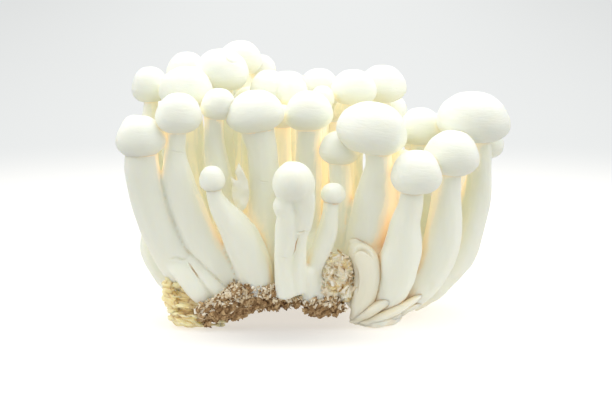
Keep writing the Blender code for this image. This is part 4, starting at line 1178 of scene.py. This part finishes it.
def dome():
    """White light from all round, stronger from above and from both sides."""
    world = bpy.data.worlds.new("dome")
    bpy.context.scene.world = world
    world.use_nodes = True
    tree = world.node_tree
    where = add(tree, "ShaderNodeTexCoord")
    parts = add(tree, "ShaderNodeSeparateXYZ", {0: where.outputs["Generated"]})
    high = eased(tree, parts.outputs["Z"], *DOME_HEIGHTS, *DOME_STRENGTHS)
    aside = add(tree, "ShaderNodeMath", {0: parts.outputs["X"]}, operation="ABSOLUTE").outputs[0]
    sides = eased(tree, aside, *DOME_SIDES, *SIDE_STRENGTHS)
    total = add(tree, "ShaderNodeMath", {0: high, 1: sides})
    background = tree.nodes["Background"]
    background.inputs["Color"].default_value = (1, 1, 1, 1)
    tree.links.new(total.outputs[0], background.inputs["Strength"])


def softbox(name, place, aim, size, power):
    """A rectangular light, in metres and watts."""
    light = bpy.data.lights.new(name, "AREA")
    light.shape, light.size, light.size_y = "RECTANGLE", size[0], size[1]
    light.energy = power
    made = bpy.data.objects.new(name, light)
    made.location = place
    made.rotation_euler = (Vector(aim) - Vector(place)).to_track_quat("-Z", "Y").to_euler()
    bpy.context.scene.collection.objects.link(made)


dome()
softbox("light_above", place=(0, 0.10, 0.64), aim=(0, 0, 0.03), size=(0.6, 0.5), power=1.8)
scene = bpy.context.scene
scene.cycles.max_bounces = 16
scene.cycles.diffuse_bounces = 10
scene.view_settings.view_transform = "Standard"

# %% Camera
TARGET = Vector((-2.7, -4.0, 34.3)) * MM
DISTANCE = 0.6
ELEVATION = math.radians(10)
MM_PER_PIXEL = 0.317
PIXELS_WIDE = 612
SENSOR = 36
camera = bpy.data.objects.new("camera", bpy.data.cameras.new("camera"))
camera.data.sensor_width = SENSOR
camera.data.lens = SENSOR * DISTANCE / MM / MM_PER_PIXEL / PIXELS_WIDE
camera.data.clip_start = 0.01
camera.location = TARGET + Vector((0, -math.cos(ELEVATION), math.sin(ELEVATION))) * DISTANCE
camera.rotation_euler = (math.pi / 2 - ELEVATION, 0, 0)
scene.collection.objects.link(camera)
scene.camera = camera
print("lens", round(camera.data.lens, 1), "mm")

# %% [markdown]
# ## Hand over to the imported model
# Every piece rides on the one body. The flesh and the flakes on the torn stub stand for the imported clump,
# and the slab and its flakes for the crust.

# %% Ride and replace
for made in [*flesh_pieces, torn_flakes]:
    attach(made, "root")
    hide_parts("mushroom_clump")
for made in [crust, *flakes]:
    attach(made, "root")
    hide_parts("sawdust_crust")
